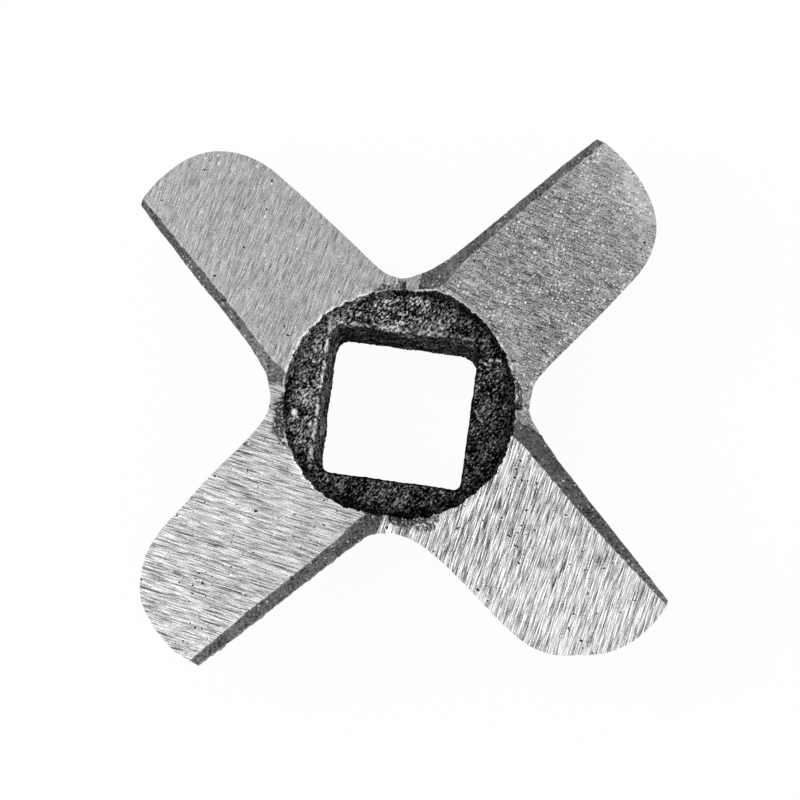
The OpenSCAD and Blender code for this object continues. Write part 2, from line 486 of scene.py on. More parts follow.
def bevel_drop(sizes, along):
    """Height from an arm's leading edge down to the foot of its bevel."""
    return (wall_line(sizes, along) - edge_line(sizes, along)) * math.tan(sizes.bevel_slope)


def wander(at, stations, hundredths):
    """How far a line wanders at each place, from a table in hundredths of a millimetre."""
    return np.interp(at, stations, hundredths) * 0.01 * MM


def edge_as_cast(sizes, along, k):
    """Distance of an arm's leading edge from its centre line, with its wander."""
    return edge_line(sizes, along) + wander(along / MM, EDGE_AT, EDGE_WANDER[k])


def rim_wander(direction):
    """How far the recess's rim wanders outwards in each direction."""
    stations = np.arange(len(RIM_WANDER) + 1) * 360 / len(RIM_WANDER)
    return wander(direction, stations, RIM_WANDER + RIM_WANDER[:1])


def hole_sides(places, sizes):
    """Distances into the hole from its west and north sides, and out past its east and south ones."""
    x, y = sizes.hole_shift
    half = sizes.hole_half
    west, east = places[:, 0] - (x - half), places[:, 0] - (x + half)
    north, south = (y + half) - places[:, 1], (y - half) - places[:, 1]
    return west, north, east, south


# The casting


def copied_solid():
    """A merged copy of the solid, free of the frame."""
    only(frame["nodes"]["knife"])
    bpy.ops.object.duplicate()
    piece = bpy.context.object
    bpy.ops.object.parent_clear(type="CLEAR_KEEP_TRANSFORM")
    bpy.ops.object.mode_set(mode="EDIT")
    bpy.ops.mesh.select_all(action="SELECT")
    bpy.ops.mesh.remove_doubles(threshold=0.001 * MM)
    bpy.ops.object.mode_set(mode="OBJECT")
    piece.name = "casting"
    piece.data.name = "casting"
    return piece


def sort_faces(piece, sizes):
    """Gives each face its finish and its arm, by the way it looks and where it lies."""
    normals = face_values(piece, "normal", 3)
    centres = face_values(piece, "center", 3)
    _, radius = polar(centres)
    height = centres[:, 2]
    outside = radius > sizes.hub_radius - 0.3 * MM
    ground = outside & (np.abs(normals[:, 2] - math.cos(sizes.face_tilt)) < 0.002)
    ground &= height > KNIFE_TOP - GROUND_DEPTH
    bevel = outside & (np.abs(normals[:, 2] - math.cos(sizes.bevel_slope)) < 0.03)
    bevel &= height > KNIFE_TOP - BEVEL_DEPTH
    in_hole = np.maximum(np.abs(centres[:, 0]), np.abs(centres[:, 1])) < sizes.hole_half + 0.02 * MM
    floor = KNIFE_TOP - sizes.recess_depth
    in_recess = (radius < sizes.hub_radius + 0.2 * MM) & (height > floor - 0.2 * MM)
    # A ground face leans to its arm's trailing side, and a bevel to its leading side
    lean = np.arctan2(normals[:, 1], normals[:, 0])
    axis = np.where(bevel, lean - math.pi / 2, lean + math.pi / 2)
    arm = np.round((axis - sizes.arm_angle) / (2 * math.pi / ARM_COUNT)).astype(int) % ARM_COUNT
    finish = np.full(len(centres), SKIN)
    finish[in_hole | in_recess] = RECESS
    finish[(normals[:, 2] < -0.99) & (height < 0.1 * MM)] = BOSS_BACK
    finish[ground] = arm[ground]
    finish[bevel] = BEVEL
    piece.data.attributes.new("arm", "INT", "FACE")
    piece.data.attributes["arm"].data.foreach_set("value", arm.astype(np.int32))
    piece.data.polygons.foreach_set("material_index", finish.astype(np.int32))


def share_of(piece, wanted):
    """For each vertex, the share of the faces round it that are wanted ones."""
    mesh = piece.data
    corners = np.empty(len(mesh.loops), dtype=np.int32)
    mesh.loops.foreach_get("vertex_index", corners)
    totals = face_values(piece, "loop_total", 1).astype(int)
    per_corner = np.repeat(wanted.astype(float), totals)
    count = np.bincount(corners, minlength=len(mesh.vertices))
    return np.bincount(corners, per_corner, len(mesh.vertices)) / np.maximum(count, 1)


def patch_reach(sizes, direction):
    """How far out the unground patch reaches in each direction, or 0 where there is none."""
    reach = np.zeros(len(direction))
    for axis, points in zip(arm_axes(sizes), PATCHES):
        at, far = zip(*points)
        reach = np.maximum(reach, np.interp(turn_between(direction, math.degrees(axis)), at, far, 0, 0))
    return reach * MM


def by_recess(piece, sizes, margin, deep):
    """Which faces lie in the recess, within a margin outside its rim, or in a patch beside it.

    Its steep walls count down to a depth."""
    centres = face_values(piece, "center", 3)
    normals = face_values(piece, "normal", 3)
    direction, radius = polar(centres)
    reach = np.maximum(sizes.hub_radius + margin, patch_reach(sizes, direction) + 0.2 * MM)
    flat = (normals[:, 2] > 0.5) & (centres[:, 2] > KNIFE_TOP - 2.1 * MM)
    return (radius < reach) & (flat | (centres[:, 2] > KNIFE_TOP - deep))


def by_hole_foot(piece, sizes):
    """Which faces lie along the back edges of the drive hole, on its west and north sides."""
    centres = face_values(piece, "center", 3)
    reach = sizes.hole_half + 0.12 * MM
    inside = np.maximum(np.abs(centres[:, 0]), np.abs(centres[:, 1])) < reach
    west = centres[:, 0] < -sizes.hole_half + 0.5 * MM
    north = centres[:, 1] > sizes.hole_half - 0.5 * MM
    return inside & (west | north) & (centres[:, 2] < 1.0 * MM)


def by_lines(piece, sizes, margin):
    """Which faces lie within a margin of the upper edges of the bevels or of their feet."""
    centres = face_values(piece, "center", 3)
    near = np.zeros(len(centres), dtype=bool)
    for axis in arm_axes(sizes):
        along, across = arm_frame(centres, axis)
        foot = np.hypot(
            across - wall_line(sizes, along), centres[:, 2] - KNIFE_TOP + bevel_drop(sizes, along))
        edge = np.hypot(across - edge_line(sizes, along), centres[:, 2] - KNIFE_TOP)
        near |= (np.minimum(foot, edge) < margin) & (along > sizes.hub_radius - 1.5 * MM)
    return near


def outline_shift(places, sizes):
    """How far the walls, the tips and the valleys wander at each place, in the plane."""
    direction, radius = polar(places)
    # The unit of the tables
    step = 0.01 * MM
    shift = np.zeros((len(places), 2))
    for k, axis in enumerate(arm_axes(sizes)):
        lead_way = np.array((-math.sin(axis), math.cos(axis)))
        along, across = arm_frame(places, axis)
        mine = np.abs(turn_between(direction, math.degrees(axis))) <= HALF_STEP
        by_arm = rise(along, *ARM_BEGINS) * mine
        wall, edge = wall_line(sizes, along), edge_line(sizes, along)
        lead = np.interp(along / MM, LEAD_AT, LEAD_WANDER[k]) * rise(across, edge, wall)
        trail = np.interp(along / MM, TRAIL_AT, TRAIL_WANDER[k]) * rise(-across, wall - 1.6 * MM, wall)
        # The tip's rounding, round its own centre, which ends before the keen corner
        out, side = along - TIP_CENTRE[0], across - TIP_CENTRE[1]
        angle = np.degrees(np.arctan2(side, out))
        reach = np.hypot(out, side)
        by_tip = rise(reach, *TIP_BEGINS) * (out > 0) * (1 - rise(angle, 12, 35))
        push = np.interp(angle, TIP_AT, TIP_WANDER[k]) * by_tip * step
        trail = np.where(out > 0, 0, trail)
        tip_out, tip_side = push * out / np.maximum(reach, step), push * side / np.maximum(reach, step)
        sideways = (lead - trail) * step * by_arm + tip_side * mine
        shift += sideways[:, None] * lead_way
        shift += (tip_out * mine)[:, None] * np.array((lead_way[1], -lead_way[0]))
        # The valley on the trailing side, up to the two arms beside it
        turn = turn_between(direction, math.degrees(axis) - HALF_STEP)
        dip = np.interp(turn, VALLEY_AT, VALLEY_WANDER[k]) * step * (np.abs(turn) < 22)
        along_other, _ = arm_frame(places, axis - 2 * math.pi / ARM_COUNT)
        dip *= 1 - rise(np.maximum(along, along_other), *ARM_BEGINS)
        dip *= rise(radius, sizes.hub_radius + 0.2 * MM, sizes.hub_radius + 0.8 * MM)
        shift += places[:, :2] / radius[:, None] * dip[:, None]
    return shift


def edge_shift(places, sizes):
    """How far the leading edges wander at each place, in the plane.

    They slide round the recess's rim where they meet it."""
    _, radius = polar(places)
    shift = np.zeros((len(places), 2))
    for k, axis in enumerate(arm_axes(sizes)):
        lead_way = np.array((-math.sin(axis), math.cos(axis)))
        along, across = arm_frame(places, axis)
        wall, edge = wall_line(sizes, along), edge_line(sizes, along)
        band = rise(across, edge - 2.2 * MM, edge) * (1 - rise(across, edge, wall))
        band *= rise(radius, sizes.hub_radius - 0.9 * MM, sizes.hub_radius) * (along > 0)
        band *= rise(places[:, 2], KNIFE_TOP - 2.2 * MM, KNIFE_TOP - 1.2 * MM)
        push = wander(along / MM, EDGE_AT, EDGE_WANDER[k]) * band
        moved = places[:, :2] + push[:, None] * lead_way
        kept = moved * (radius / np.hypot(moved[:, 0], moved[:, 1]))[:, None]
        free = rise(radius, sizes.hub_radius + 0.1 * MM, sizes.hub_radius + 1.0 * MM)[:, None]
        shift += np.where(band[:, None] > 0, moved * free + kept * (1 - free) - places[:, :2], 0)
    return shift


def wander_outline(piece, sizes):
    """Lets the walls, the tips, the valleys and the leading edges wander from their plain lines."""
    places = vertices(piece)
    places[:, :2] += outline_shift(places, sizes) + edge_shift(places, sizes)
    move_vertices(piece, places)


def cut_line(start, lean, along):
    """Distance from an arm's centre line at which the next arm's ledge cuts its bevel."""
    return start * MM + lean * (along - FEET_AT * MM)


def raise_ledges(piece, sizes):
    """Carries each ledge on to the line where it cuts the bevel of the arm before it."""
    places = vertices(piece)
    slope = math.tan(sizes.bevel_slope)
    # How far below the line the ledge's body is drawn up with it
    deep = 0.75 * MM
    for k, (axis, (start, lean, end)) in enumerate(zip(arm_axes(sizes), FEET)):
        along, across = arm_frame(places, axis)
        foot = cut_line(start, lean, along)
        top = KNIFE_TOP - (foot - edge_as_cast(sizes, along, k)) * slope
        zone = (along > LEDGE_ALONG) & (along < (end + 0.3) * MM) & (across > foot - 0.2 * MM)
        zone &= (across > 4 * MM) & (across < LEDGE_ACROSS)
        # Vertices beside the line move on to it, which keeps the cut clean
        close = zone & (np.abs(across - foot) < 0.07 * MM) & (places[:, 2] > top - 0.4 * MM)
        places[close, 0] -= math.sin(axis) * (foot - across)[close]
        places[close, 1] += math.cos(axis) * (foot - across)[close]
        under = np.clip((top - places[:, 2]) / deep, 0, 1)
        lift = (under - under ** 2) * deep * (1 - rise(across - foot, 0.6 * MM, 2.6 * MM))
        lift[~zone | (across < foot)] = 0
        places[:, 2] += lift
    move_vertices(piece, places)


def give_ledges(piece, sizes):
    """Gives the faces past those lines to the next arm, whose ledge they belong to."""
    centres = face_values(piece, "center", 3)
    normals = face_values(piece, "normal", 3)
    finish = finishes(piece)
    arm = np.empty(len(centres), dtype=np.int32)
    piece.data.attributes["arm"].data.foreach_get("value", arm)
    for k, (axis, (start, lean, end)) in enumerate(zip(arm_axes(sizes), FEET)):
        along, across = arm_frame(centres, axis)
        foot = cut_line(start, lean, along)
        beyond = (across > foot) & (along < end * MM) & (across < LEDGE_ACROSS)
        beyond &= (along > LEDGE_ALONG) & (normals[:, 2] > 0.6) & (centres[:, 2] > KNIFE_TOP - 2.4 * MM)
        beyond &= (finish == BEVEL) | (finish == SKIN)
        finish[beyond] = (k + 1) % ARM_COUNT
        arm[beyond] = (k + 1) % ARM_COUNT
    piece.data.polygons.foreach_set("material_index", finish)
    piece.data.attributes["arm"].data.foreach_set("value", arm)


def shift_core(piece, sizes):
    """Moves the hole off centre, as its core stood, and lets the recess's rim wander."""
    places = vertices(piece)
    direction, radius = polar(places)
    square = np.maximum(np.abs(places[:, 0]), np.abs(places[:, 1]))
    by_hole = 1 - rise(square, sizes.hole_half + 0.1 * MM, sizes.hub_radius - 0.9 * MM)
    by_hole *= 1 - rise(radius, sizes.hub_radius - 1.2 * MM, sizes.hub_radius - 0.2 * MM)
    places[:, 0] += sizes.hole_shift[0] * by_hole
    places[:, 1] += sizes.hole_shift[1] * by_hole
    west, _, _, _ = hole_sides(places, sizes)
    by_wall = 1 - rise(np.abs(west), 0.15 * MM, 0.8 * MM)
    places[:, 0] += wander(places[:, 1] / MM, BOW_AT, BOW) * by_wall
    by_rim = rise(radius, sizes.hub_radius - 2.4 * MM, sizes.hub_radius - 0.5 * MM)
    by_rim *= 1 - rise(radius, sizes.hub_radius + 0.05 * MM, sizes.hub_radius + 0.65 * MM)
    floor = KNIFE_TOP - sizes.recess_depth
    by_rim *= rise(places[:, 2], floor - 0.6 * MM, floor - 0.2 * MM)
    near = np.flatnonzero(by_rim > 0)
    flat = places[near] * (1, 1, 0.35)
    chips = 0.07 * grain(flat, 1.1 * MM, 2, sizes.seed + 3)
    chips += 0.14 * grain(flat, 0.4 * MM, 3, sizes.seed + 5)
    push = by_rim[near] * (rim_wander(direction[near]) + chips * MM) / radius[near]
    places[near, :2] += places[near, :2] * push[:, None]
    move_vertices(piece, places)


def shape_hole(piece, sizes):
    """Lets the sides of the hole waver and rounds some of its corners more than the others."""
    places = vertices(piece)
    side = sizes.hole_half
    # The wavers are whole within the first distance of a side, and gone at the second
    whole, gone = 0.12 * MM, 0.6 * MM
    square = np.maximum(
        np.abs(places[:, 0] - sizes.hole_shift[0]), np.abs(places[:, 1] - sizes.hole_shift[1]))
    near = np.flatnonzero(np.abs(square - side) < gone)
    wavers = 0.06 * grain(places[near], 1.2 * MM, 3, sizes.seed + 61)
    wavers += 0.05 * grain(places[near], 0.45 * MM, 2, sizes.seed + 67)
    wavers *= MM * (1 - rise(np.abs(square[near] - side), whole, gone))
    for axis in (0, 1):
        off = places[near, axis] - sizes.hole_shift[axis]
        by_side = rise(np.abs(off), side - gone, side - whole)
        places[near, axis] += np.sign(off) * wavers * by_side
    # Round a corner, the material moves in up to this distance from the hole
    spread = 0.7 * MM
    floor = KNIFE_TOP - sizes.recess_depth
    for east, north, at_recess, at_back in CORNERS:
        across = side - east * (places[:, 0] - sizes.hole_shift[0])
        up = side - north * (places[:, 1] - sizes.hole_shift[1])
        radius = (at_back + (at_recess - at_back) * np.clip(places[:, 2] / floor, 0, 1)) * MM
        plain = sizes.corner_radius
        beyond = np.where(
            (across < plain) & (up < plain), np.hypot(plain - across, plain - up) - plain,
            -np.minimum(across, up))
        inside = (across < radius) & (up < radius) & (beyond < spread)
        reach = np.hypot(radius - across, radius - up)
        push = np.where(inside, np.clip(1 - radius / np.maximum(reach, 1e-9), 0, 1), 0)
        push *= 1 - rise(beyond, 0.0, spread)
        places[:, 0] -= east * (radius - across) * push
        places[:, 1] -= north * (radius - up) * push
    move_vertices(piece, places)


def missed_patches(piece, sizes):
    """Lowers the ledges that the grinding missed, cuts the cracks beside them, and maps them and their
    painted shade.
    """
    places = vertices(piece)
    direction, radius = polar(places)
    top = places[:, 2] > KNIFE_TOP - LEDGE_DEPTH
    inner = sizes.hub_radius - 0.35 * MM
    reach = patch_reach(sizes, direction)
    near = np.flatnonzero(top & (reach > 0) & (radius > inner) & (radius < reach + 0.4 * MM))
    ragged = grain(places[near], 0.55 * MM, 3, sizes.seed + 8)
    patch = np.zeros(len(places))
    patch[near] = rise(reach[near] + 0.26 * MM * ragged - radius[near], -0.04 * MM, 0.08 * MM)
    depth = np.clip((reach - radius) / np.maximum(reach - inner, 0.1 * MM), 0, 1)
    fall = patch * (0.05 + 0.22 * depth ** 1.5) * MM
    for centre, half, far, deep in NOTCHES:
        turn = np.abs(turn_between(direction, centre)) / half
        cut = top & (turn < 1) & (radius > inner) & (radius < far * MM)
        taper = np.clip((far * MM - radius) / (far * MM - inner), 0, 1) ** 0.4
        fall = np.where(cut, np.maximum(fall, deep * MM * (1 - turn ** 2) * taper), fall)
        patch = np.where(cut, np.maximum(patch, rise(1 - turn, 0, 0.4)), patch)
    places[:, 2] -= fall
    move_vertices(piece, places)
    return patch, np.clip(fall / (0.5 * MM), 0, 1)


def sculpt_sand(piece, sizes, patch):
    """Raises the sandy grains of the cast surfaces, and returns how high each place stands."""
    places = vertices(piece)
    normals = np.empty(len(places) * 3)
    piece.data.vertices.foreach_get("normal", normals)
    normals = normals.reshape(-1, 3)
    cast = rise(share_of(piece, finishes(piece) == RECESS), 0.3, 1.0)
    # The hole's edges stayed sharp and straight on two sides
    _, _, east, south = hole_sides(places, sizes)
    for past in (east, south):
        cast *= np.where(past > -0.3 * MM, rise(past, 0.05 * MM, 0.5 * MM), 1)
    amount = np.maximum(cast, 0.5 * patch)
    near = np.flatnonzero(amount > 0)
    at = places[near]
    lumps = grain(at, 1.3 * MM, 2, sizes.seed + 47)
    bumps = np.clip(2.4 * np.abs(grain(at, 0.34 * MM, 2, sizes.seed + 41)), 0, 1.6)
    fine = grain(at, 0.19 * MM, 1, sizes.seed + 43)
    height = 0.45 * lumps + 0.8 * (bumps - 0.5) + 0.5 * fine
    places[near] += normals[near] * (amount[near] * height * 0.45 * sizes.grain_depth)[:, None]
    move_vertices(piece, places)
    stands = np.full(len(places), 0.5)
    stands[near] = 0.5 + 0.5 * (0.25 * lumps + 0.75 * (bumps - 0.5) + 0.45 * fine)
    return stands


def painted_light_and_bevel_tone(piece, sizes):
    """Painted light and shade on the cast surfaces, and the bevels' tone, as a share of twice their
    colour.
    """
    places = vertices(piece)
    direction, radius = polar(places)
    # Painted light: the recess is brightest to the north west, and a little dimmer due west
    bright = 1 - rise(np.abs(turn_between(direction, 143)), 50, 88)
    due_west = 1 - rise(np.abs(turn_between(direction, 180)), 15, 50)
    value = (0.3 + 0.63 * bright) * (1 - 0.3 * due_west)
    # Painted shade: a dark band runs round it inside the rim, except on the west side
    clear_rim = 1 - rise(np.abs(turn_between(direction, 170)), 55, 80)
    value *= 1 - 0.8 * rise(radius, 8.35 * MM, 8.95 * MM) * (1 - clear_rim)
    west, north, east, south = hole_sides(places, sizes)
    # Painted shade: the sharp edges on two sides are black
    value = np.where((np.abs(east) < 0.13 * MM) | (np.abs(south) < 0.13 * MM), 0.04, value)
    # Streaks down the other two walls, with painted light on them and painted shade at the west one's foot
    below = places[:, 2] < KNIFE_TOP - sizes.recess_depth - 0.1 * MM
    foot = 0.15 + 0.85 * rise(places[:, 2], 0.5 * MM, 1.6 * MM)
    walls = np.flatnonzero(below & ((np.abs(north) < 0.6 * MM) | (np.abs(west) < 0.6 * MM)))
    drawn = np.zeros(len(places))
    drawn[walls] = grain(places[walls] * (0.25, 0.25, 1.0), 0.55 * MM, 3, sizes.seed + 73)
    value = np.where(below & (np.abs(north) < 0.35 * MM), 0.46 + 0.55 * drawn, value)
    value = np.where(below & (np.abs(west) < 0.35 * MM), (1.5 + 0.7 * drawn) * foot, value)
    value = np.clip(value, 0.02, 2)
    # Beyond the recess, the bevels
    for k, axis in enumerate(arm_axes(sizes)):
        along, across = arm_frame(places, axis)
        bevel = (radius > sizes.hub_radius - 0.1 * MM) & (across > edge_line(sizes, along) - 0.5 * MM)
        bevel &= (along > sizes.hub_radius - 2.5 * MM) & (across < LEDGE_ACROSS)
        value = np.where(bevel, np.interp(along / MM, SHINE_AT, SHINE[k]), value)
    return value / 2


def on_line(along, k):
    """Places for noise that changes only along an arm, and differs from arm to arm."""
    return np.stack([along, np.zeros(len(along)), np.full(len(along), k * 0.1)], 1)


def serrate_edges(piece, sizes):
    """Fine serrations and nicks along the bevels' edges, and how bright they are, partly from wear and
    partly as painted glints.
    """
    places = vertices(piece)
    rng = np.random.default_rng(sizes.seed)
    wear_and_glint = np.zeros(len(places))
    reach = 0.3 * MM
    for k, axis in enumerate(arm_axes(sizes)):
        along, across = arm_frame(places, axis)
        off = np.hypot(across - edge_as_cast(sizes, along, k), places[:, 2] - KNIFE_TOP)
        near = np.flatnonzero((off < reach) & (along > sizes.hub_radius - 1.0 * MM))
        flat = on_line(along[near], k)
        cut = 0.4 * sizes.nick_depth * (0.5 + grain(flat, 0.22 * MM, 2, sizes.seed))
        for spot in rng.uniform(sizes.hub_radius, sizes.tip_radius, NICKS):
            depth = rng.uniform(0.2, 1) ** 2 * sizes.nick_depth
            width = rng.uniform(0.08, 0.25) * MM
            cut = np.maximum(cut, depth * np.exp(-((along[near] - spot) / width) ** 2))
        cut *= 1 - rise(off[near], 0.4 * reach, reach)
        places[near, 0] += math.sin(axis) * cut
        places[near, 1] -= math.cos(axis) * cut
        # Painted glints along the leading edge, on top of its wear
        shine = (1 - rise(off[near], 0.03 * MM, 0.15 * MM)) * np.clip(
            0.3 + 1.2 * grain(flat, 0.9 * MM, 2, sizes.seed + 13), 0, 1)
        wear_and_glint[near] = np.maximum(wear_and_glint[near], 0.45 * shine)
        # The foot of the bevel, where the third arm kept a strong burr
        out = wall_line(sizes, along) + wander(along / MM, LEAD_AT, LEAD_WANDER[k])
        foot = np.hypot(across - out, places[:, 2] - (KNIFE_TOP - bevel_drop(sizes, along)))
        near = np.flatnonzero((foot < reach) & (along > sizes.hub_radius + 0.2 * MM))
        flat = on_line(along[near], k)
        amount = FOOT_BURRS[k]
        burr = amount * np.clip(0.55 + grain(flat, 0.5 * MM, 3, sizes.seed + 17), 0, 1.3)
        push = (1 - rise(foot[near], 0.1 * reach, reach)) * burr * 0.13 * MM
        places[near, 0] -= math.sin(axis) * push
        places[near, 1] += math.cos(axis) * push
        shine = 1 - rise(foot[near], (0.02 + 0.1 * amount) * MM, (0.12 + 0.12 * amount) * MM)
        wear_and_glint[near] = np.maximum(wear_and_glint[near], np.clip(0.3 * shine * burr, 0, 1))
    move_vertices(piece, places)
    return wear_and_glint


def burr_rim(piece, sizes, wear_and_glint):
    """Thin burrs along stretches of the recess's rim, made bright with painted glints."""
    places = vertices(piece)
    direction, radius = polar(places)
    rim = sizes.hub_radius + rim_wander(direction)
    near = np.flatnonzero((np.abs(radius - rim) < 0.4 * MM) & (places[:, 2] > KNIFE_TOP - 1.45 * MM))
    # The burr stands on the ground faces' side of the recess's boundary
    share = share_of(piece, finishes(piece) == RECESS)[near]
    boundary = near[(share > 0.1) & (share < 0.9)]
    tree = kdtree.KDTree(len(boundary))
    for vertex in boundary:
        tree.insert(places[vertex], int(vertex))
    tree.balance()
    off = np.array([tree.find(places[vertex])[2] for vertex in near])
    amount = np.zeros(len(near))
    for start, end, bright in RIM_BURRS_AND_GLINTS:
        turn = np.abs(turn_between(direction[near], (start + end) / 2))
        half = (end - start) / 2
        amount = np.maximum(amount, bright * (1 - rise(turn, half - 2, half + 2)))
    flat = places[near] * (1, 1, 0)
    broken = np.clip(0.7 + 1.7 * grain(flat, 0.5 * MM, 3, sizes.seed + 23), 0, 1)
    by_rim = (1 - rise(off, 0.07 * MM, (0.1 + 0.12 * amount) * MM)) * (1 - rise(share, 0.9, 1.0))
    burr = by_rim * amount * broken
    wear_and_glint[near] = np.maximum(wear_and_glint[near], burr)
    places[near, 2] += 0.06 * MM * burr
    move_vertices(piece, places)
    return wear_and_glint


def raise_lips(places, sizes, wear_and_glint):
    """Raises the lip along the west and north edges of the hole, and paints highlights on it."""
    crest = KNIFE_TOP - sizes.recess_depth + sizes.recess_crown
    on_floor = places[:, 2] > crest - 0.35 * MM
    west, north, _, _ = hole_sides(places, sizes)
    # Distance from the side, place along it, the lip's width, its painted highlight's brightness and blob
    # size
    for off, side, width, bright, most_at, blobs in (
            (west, places[:, 1], 0.17, 1.0, WEST_LIP, 0.32),
            (north, places[:, 0], 0.2, 0.8, NORTH_LIP, 0.25)):
        near = np.flatnonzero(on_floor & (off < 0.2 * MM) & (off > -0.95 * MM) & (np.abs(side) < 6.4 * MM))
        flat = places[near] * (1, 1, 0)
        ragged = np.clip(0.65 + 0.8 * grain(flat, 0.9 * MM, 3, sizes.seed + 31), 0, 1.4)
        hump = np.exp(-((off[near] + (width + 0.05) * MM) / (width * MM)) ** 2) * ragged
        places[near, 2] += sizes.lip_height * hump
        spots = rise(grain(places[near], blobs * MM, 3, sizes.seed + 37), -0.3, 0.15)
        most = np.interp(side[near] / MM, LIP_AT, most_at)
        wear_and_glint[near] = np.maximum(wear_and_glint[near], bright * most * rise(hump, 0.15, 0.55) * spots)


def raise_lump(places, wear_and_glint):
    """Raises the lump on the recess's floor with a painted glint, and sinks and maps the hollow beside it
    for painted shade.
    """
    turn, distance, width, length, height = LUMP
    turn = math.radians(turn)
    centre = Vector((math.cos(turn), math.sin(turn), 0)) * distance * MM
    right, up = places[:, 0] - centre.x, places[:, 1] - centre.y
    across = -right * math.sin(turn) + up * math.cos(turn)
    out = right * math.cos(turn) + up * math.sin(turn)
    below = places[:, 2] < KNIFE_TOP - 2.2 * MM
    lump = np.exp(-((across / (width * MM)) ** 2 + (out / (length * MM)) ** 2) ** 2)
    lump[below] = 0
    places[:, 2] += height * MM * lump
    aside, further_in, width, length, depth = HOLLOW
    aside, further_in = across + aside * MM, out + further_in * MM
    hollow = np.exp(-((aside / (width * MM)) ** 2 + (further_in / (length * MM)) ** 2))
    hollow[below] = 0
    places[:, 2] -= depth * MM * hollow
    # A painted glint on the lump's top
    wear_and_glint[:] = np.maximum(wear_and_glint, 1.8 * lump - 0.4)
    return hollow


def highlight_spots(places, sizes, wear_and_glint):
    """Paints highlights on the high spots by the recess."""
    crest = KNIFE_TOP - sizes.recess_depth + sizes.recess_crown
    radius = np.hypot(places[:, 0], places[:, 1])
    on_top = np.flatnonzero((places[:, 2] > crest - 0.8 * MM) & (radius < sizes.hub_radius + 0.5 * MM))
    for x, y, size, turn in RECESS_HIGHLIGHTS:
        turn = math.radians(turn)
        right, up = places[on_top, 0] - x * MM, places[on_top, 1] - y * MM
        along = right * math.cos(turn) + up * math.sin(turn)
        across = up * math.cos(turn) - right * math.sin(turn)
        # A spot is twice as long as it is wide
        away = np.hypot(along, 2 * across)
        reached = away < 2 * size * MM
        close = on_top[reached]
        ragged = 1 + 0.9 * grain(places[close], 0.2 * MM, 2, sizes.seed + 71)
        gleam = 1 - rise(away[reached] * ragged, 0.45 * size * MM, 1.0 * size * MM)
        wear_and_glint[close] = np.maximum(wear_and_glint[close], 0.65 * gleam)
        places[close, 2] += 0.06 * MM * gleam


def shape_and_highlight_recess(piece, sizes, wear_and_glint):
    """Shapes what stands up in the recess and paints highlights on it, and returns the wear with its
    glints, and the hollow.
    """
    places = vertices(piece)
    raise_lips(places, sizes, wear_and_glint)
    hollow = raise_lump(places, wear_and_glint)
    highlight_spots(places, sizes, wear_and_glint)
    move_vertices(piece, places)
    return wear_and_glint, hollow


def tone_and_light_of_faces(piece, sizes):
    """How bright the ground faces are, partly their own tone and partly painted light, most at the
    trailing side of the arms' tips.
    """
    places = vertices(piece)
    direction, _ = polar(places)
    value = np.full(len(places), 0.5)
    for k, axis in enumerate(arm_axes(sizes)):
        along, across = arm_frame(places, axis)
        mine = np.abs(turn_between(direction, math.degrees(axis))) <= HALF_STEP
        # The leading side counts as nearer to the axis than it is, and the trailing side as farther
        reach = (np.hypot(along, across) - 0.25 * across) / MM
        value = np.where(mine, np.interp(reach, FACE_TONE_AND_LIGHT_AT, FACE_TONE_AND_LIGHT[k]), value)
    # A painted highlight beside the first arm's tip
    x, y, turn, length, width = TIP_HIGHLIGHT
    turn = math.radians(turn)
    out, side = places[:, 0] - x * MM, places[:, 1] - y * MM
    by_length = (out * math.cos(turn) + side * math.sin(turn)) / (length * MM)
    by_width = (side * math.cos(turn) - out * math.sin(turn)) / (width * MM)
    tip_highlight = np.exp(-by_length ** 2 - by_width ** 2)
    near = np.flatnonzero((tip_highlight > 0.02) & (places[:, 2] > UPPER_HALF))
    value[near] += 0.85 * tip_highlight[near] * np.clip(0.6 + 1.8 * grain(places[near], 0.7 * MM, 2, 3), 0, 1.5)
    return value


def pocked(piece):
    """Where clusters of small pits lie on the ground faces."""
    places = vertices(piece)
    value = np.zeros(len(places))
    for x, y, reach in POCKS:
        off = np.hypot(places[:, 0] - x * MM, places[:, 1] - y * MM) / (reach * MM)
        value = np.maximum(value, 1 - rise(off, 0.4, 1.0))
    value[places[:, 2] < UPPER_HALF] = 0
    return value


def lay_grinding(piece, sizes):
    """A UV map in millimetres whose U runs along the grinding marks of each face."""
    mesh = piece.data
    layer = mesh.uv_layers.new(name="grinding")
    corners = np.empty(len(mesh.loops), dtype=np.int32)
    mesh.loops.foreach_get("vertex_index", corners)
    totals = face_values(piece, "loop_total", 1).astype(int)
    arm = np.empty(len(mesh.polygons), dtype=np.int32)
    mesh.attributes["arm"].data.foreach_get("value", arm)
    finish = finishes(piece)
    # The boss's back was ground in one go
    arm[finish == BOSS_BACK] = 0
    axes = np.array(arm_axes(sizes))[arm]
    # Marks cross the faces at their own angle, and the bevels at another
    by_arm = np.radians(np.array(MARK_ANGLES))[arm]
    lay = axes + np.where(finish == BEVEL, math.radians(BEVEL_ANGLE), by_arm)
    turn = np.repeat(lay, totals)
    # Far apart on the map, so that no two faces get the same marks
    offset = np.repeat(arm * 60.0 + finish * 17.0, totals)
    places = vertices(piece)[corners] / MM
    along = places[:, 0] * np.cos(turn) + places[:, 1] * np.sin(turn)
    across = places[:, 1] * np.cos(turn) - places[:, 0] * np.sin(turn)
    layer.data.foreach_set("uv", np.stack([along, across + offset], 1).ravel())


# Shader tools


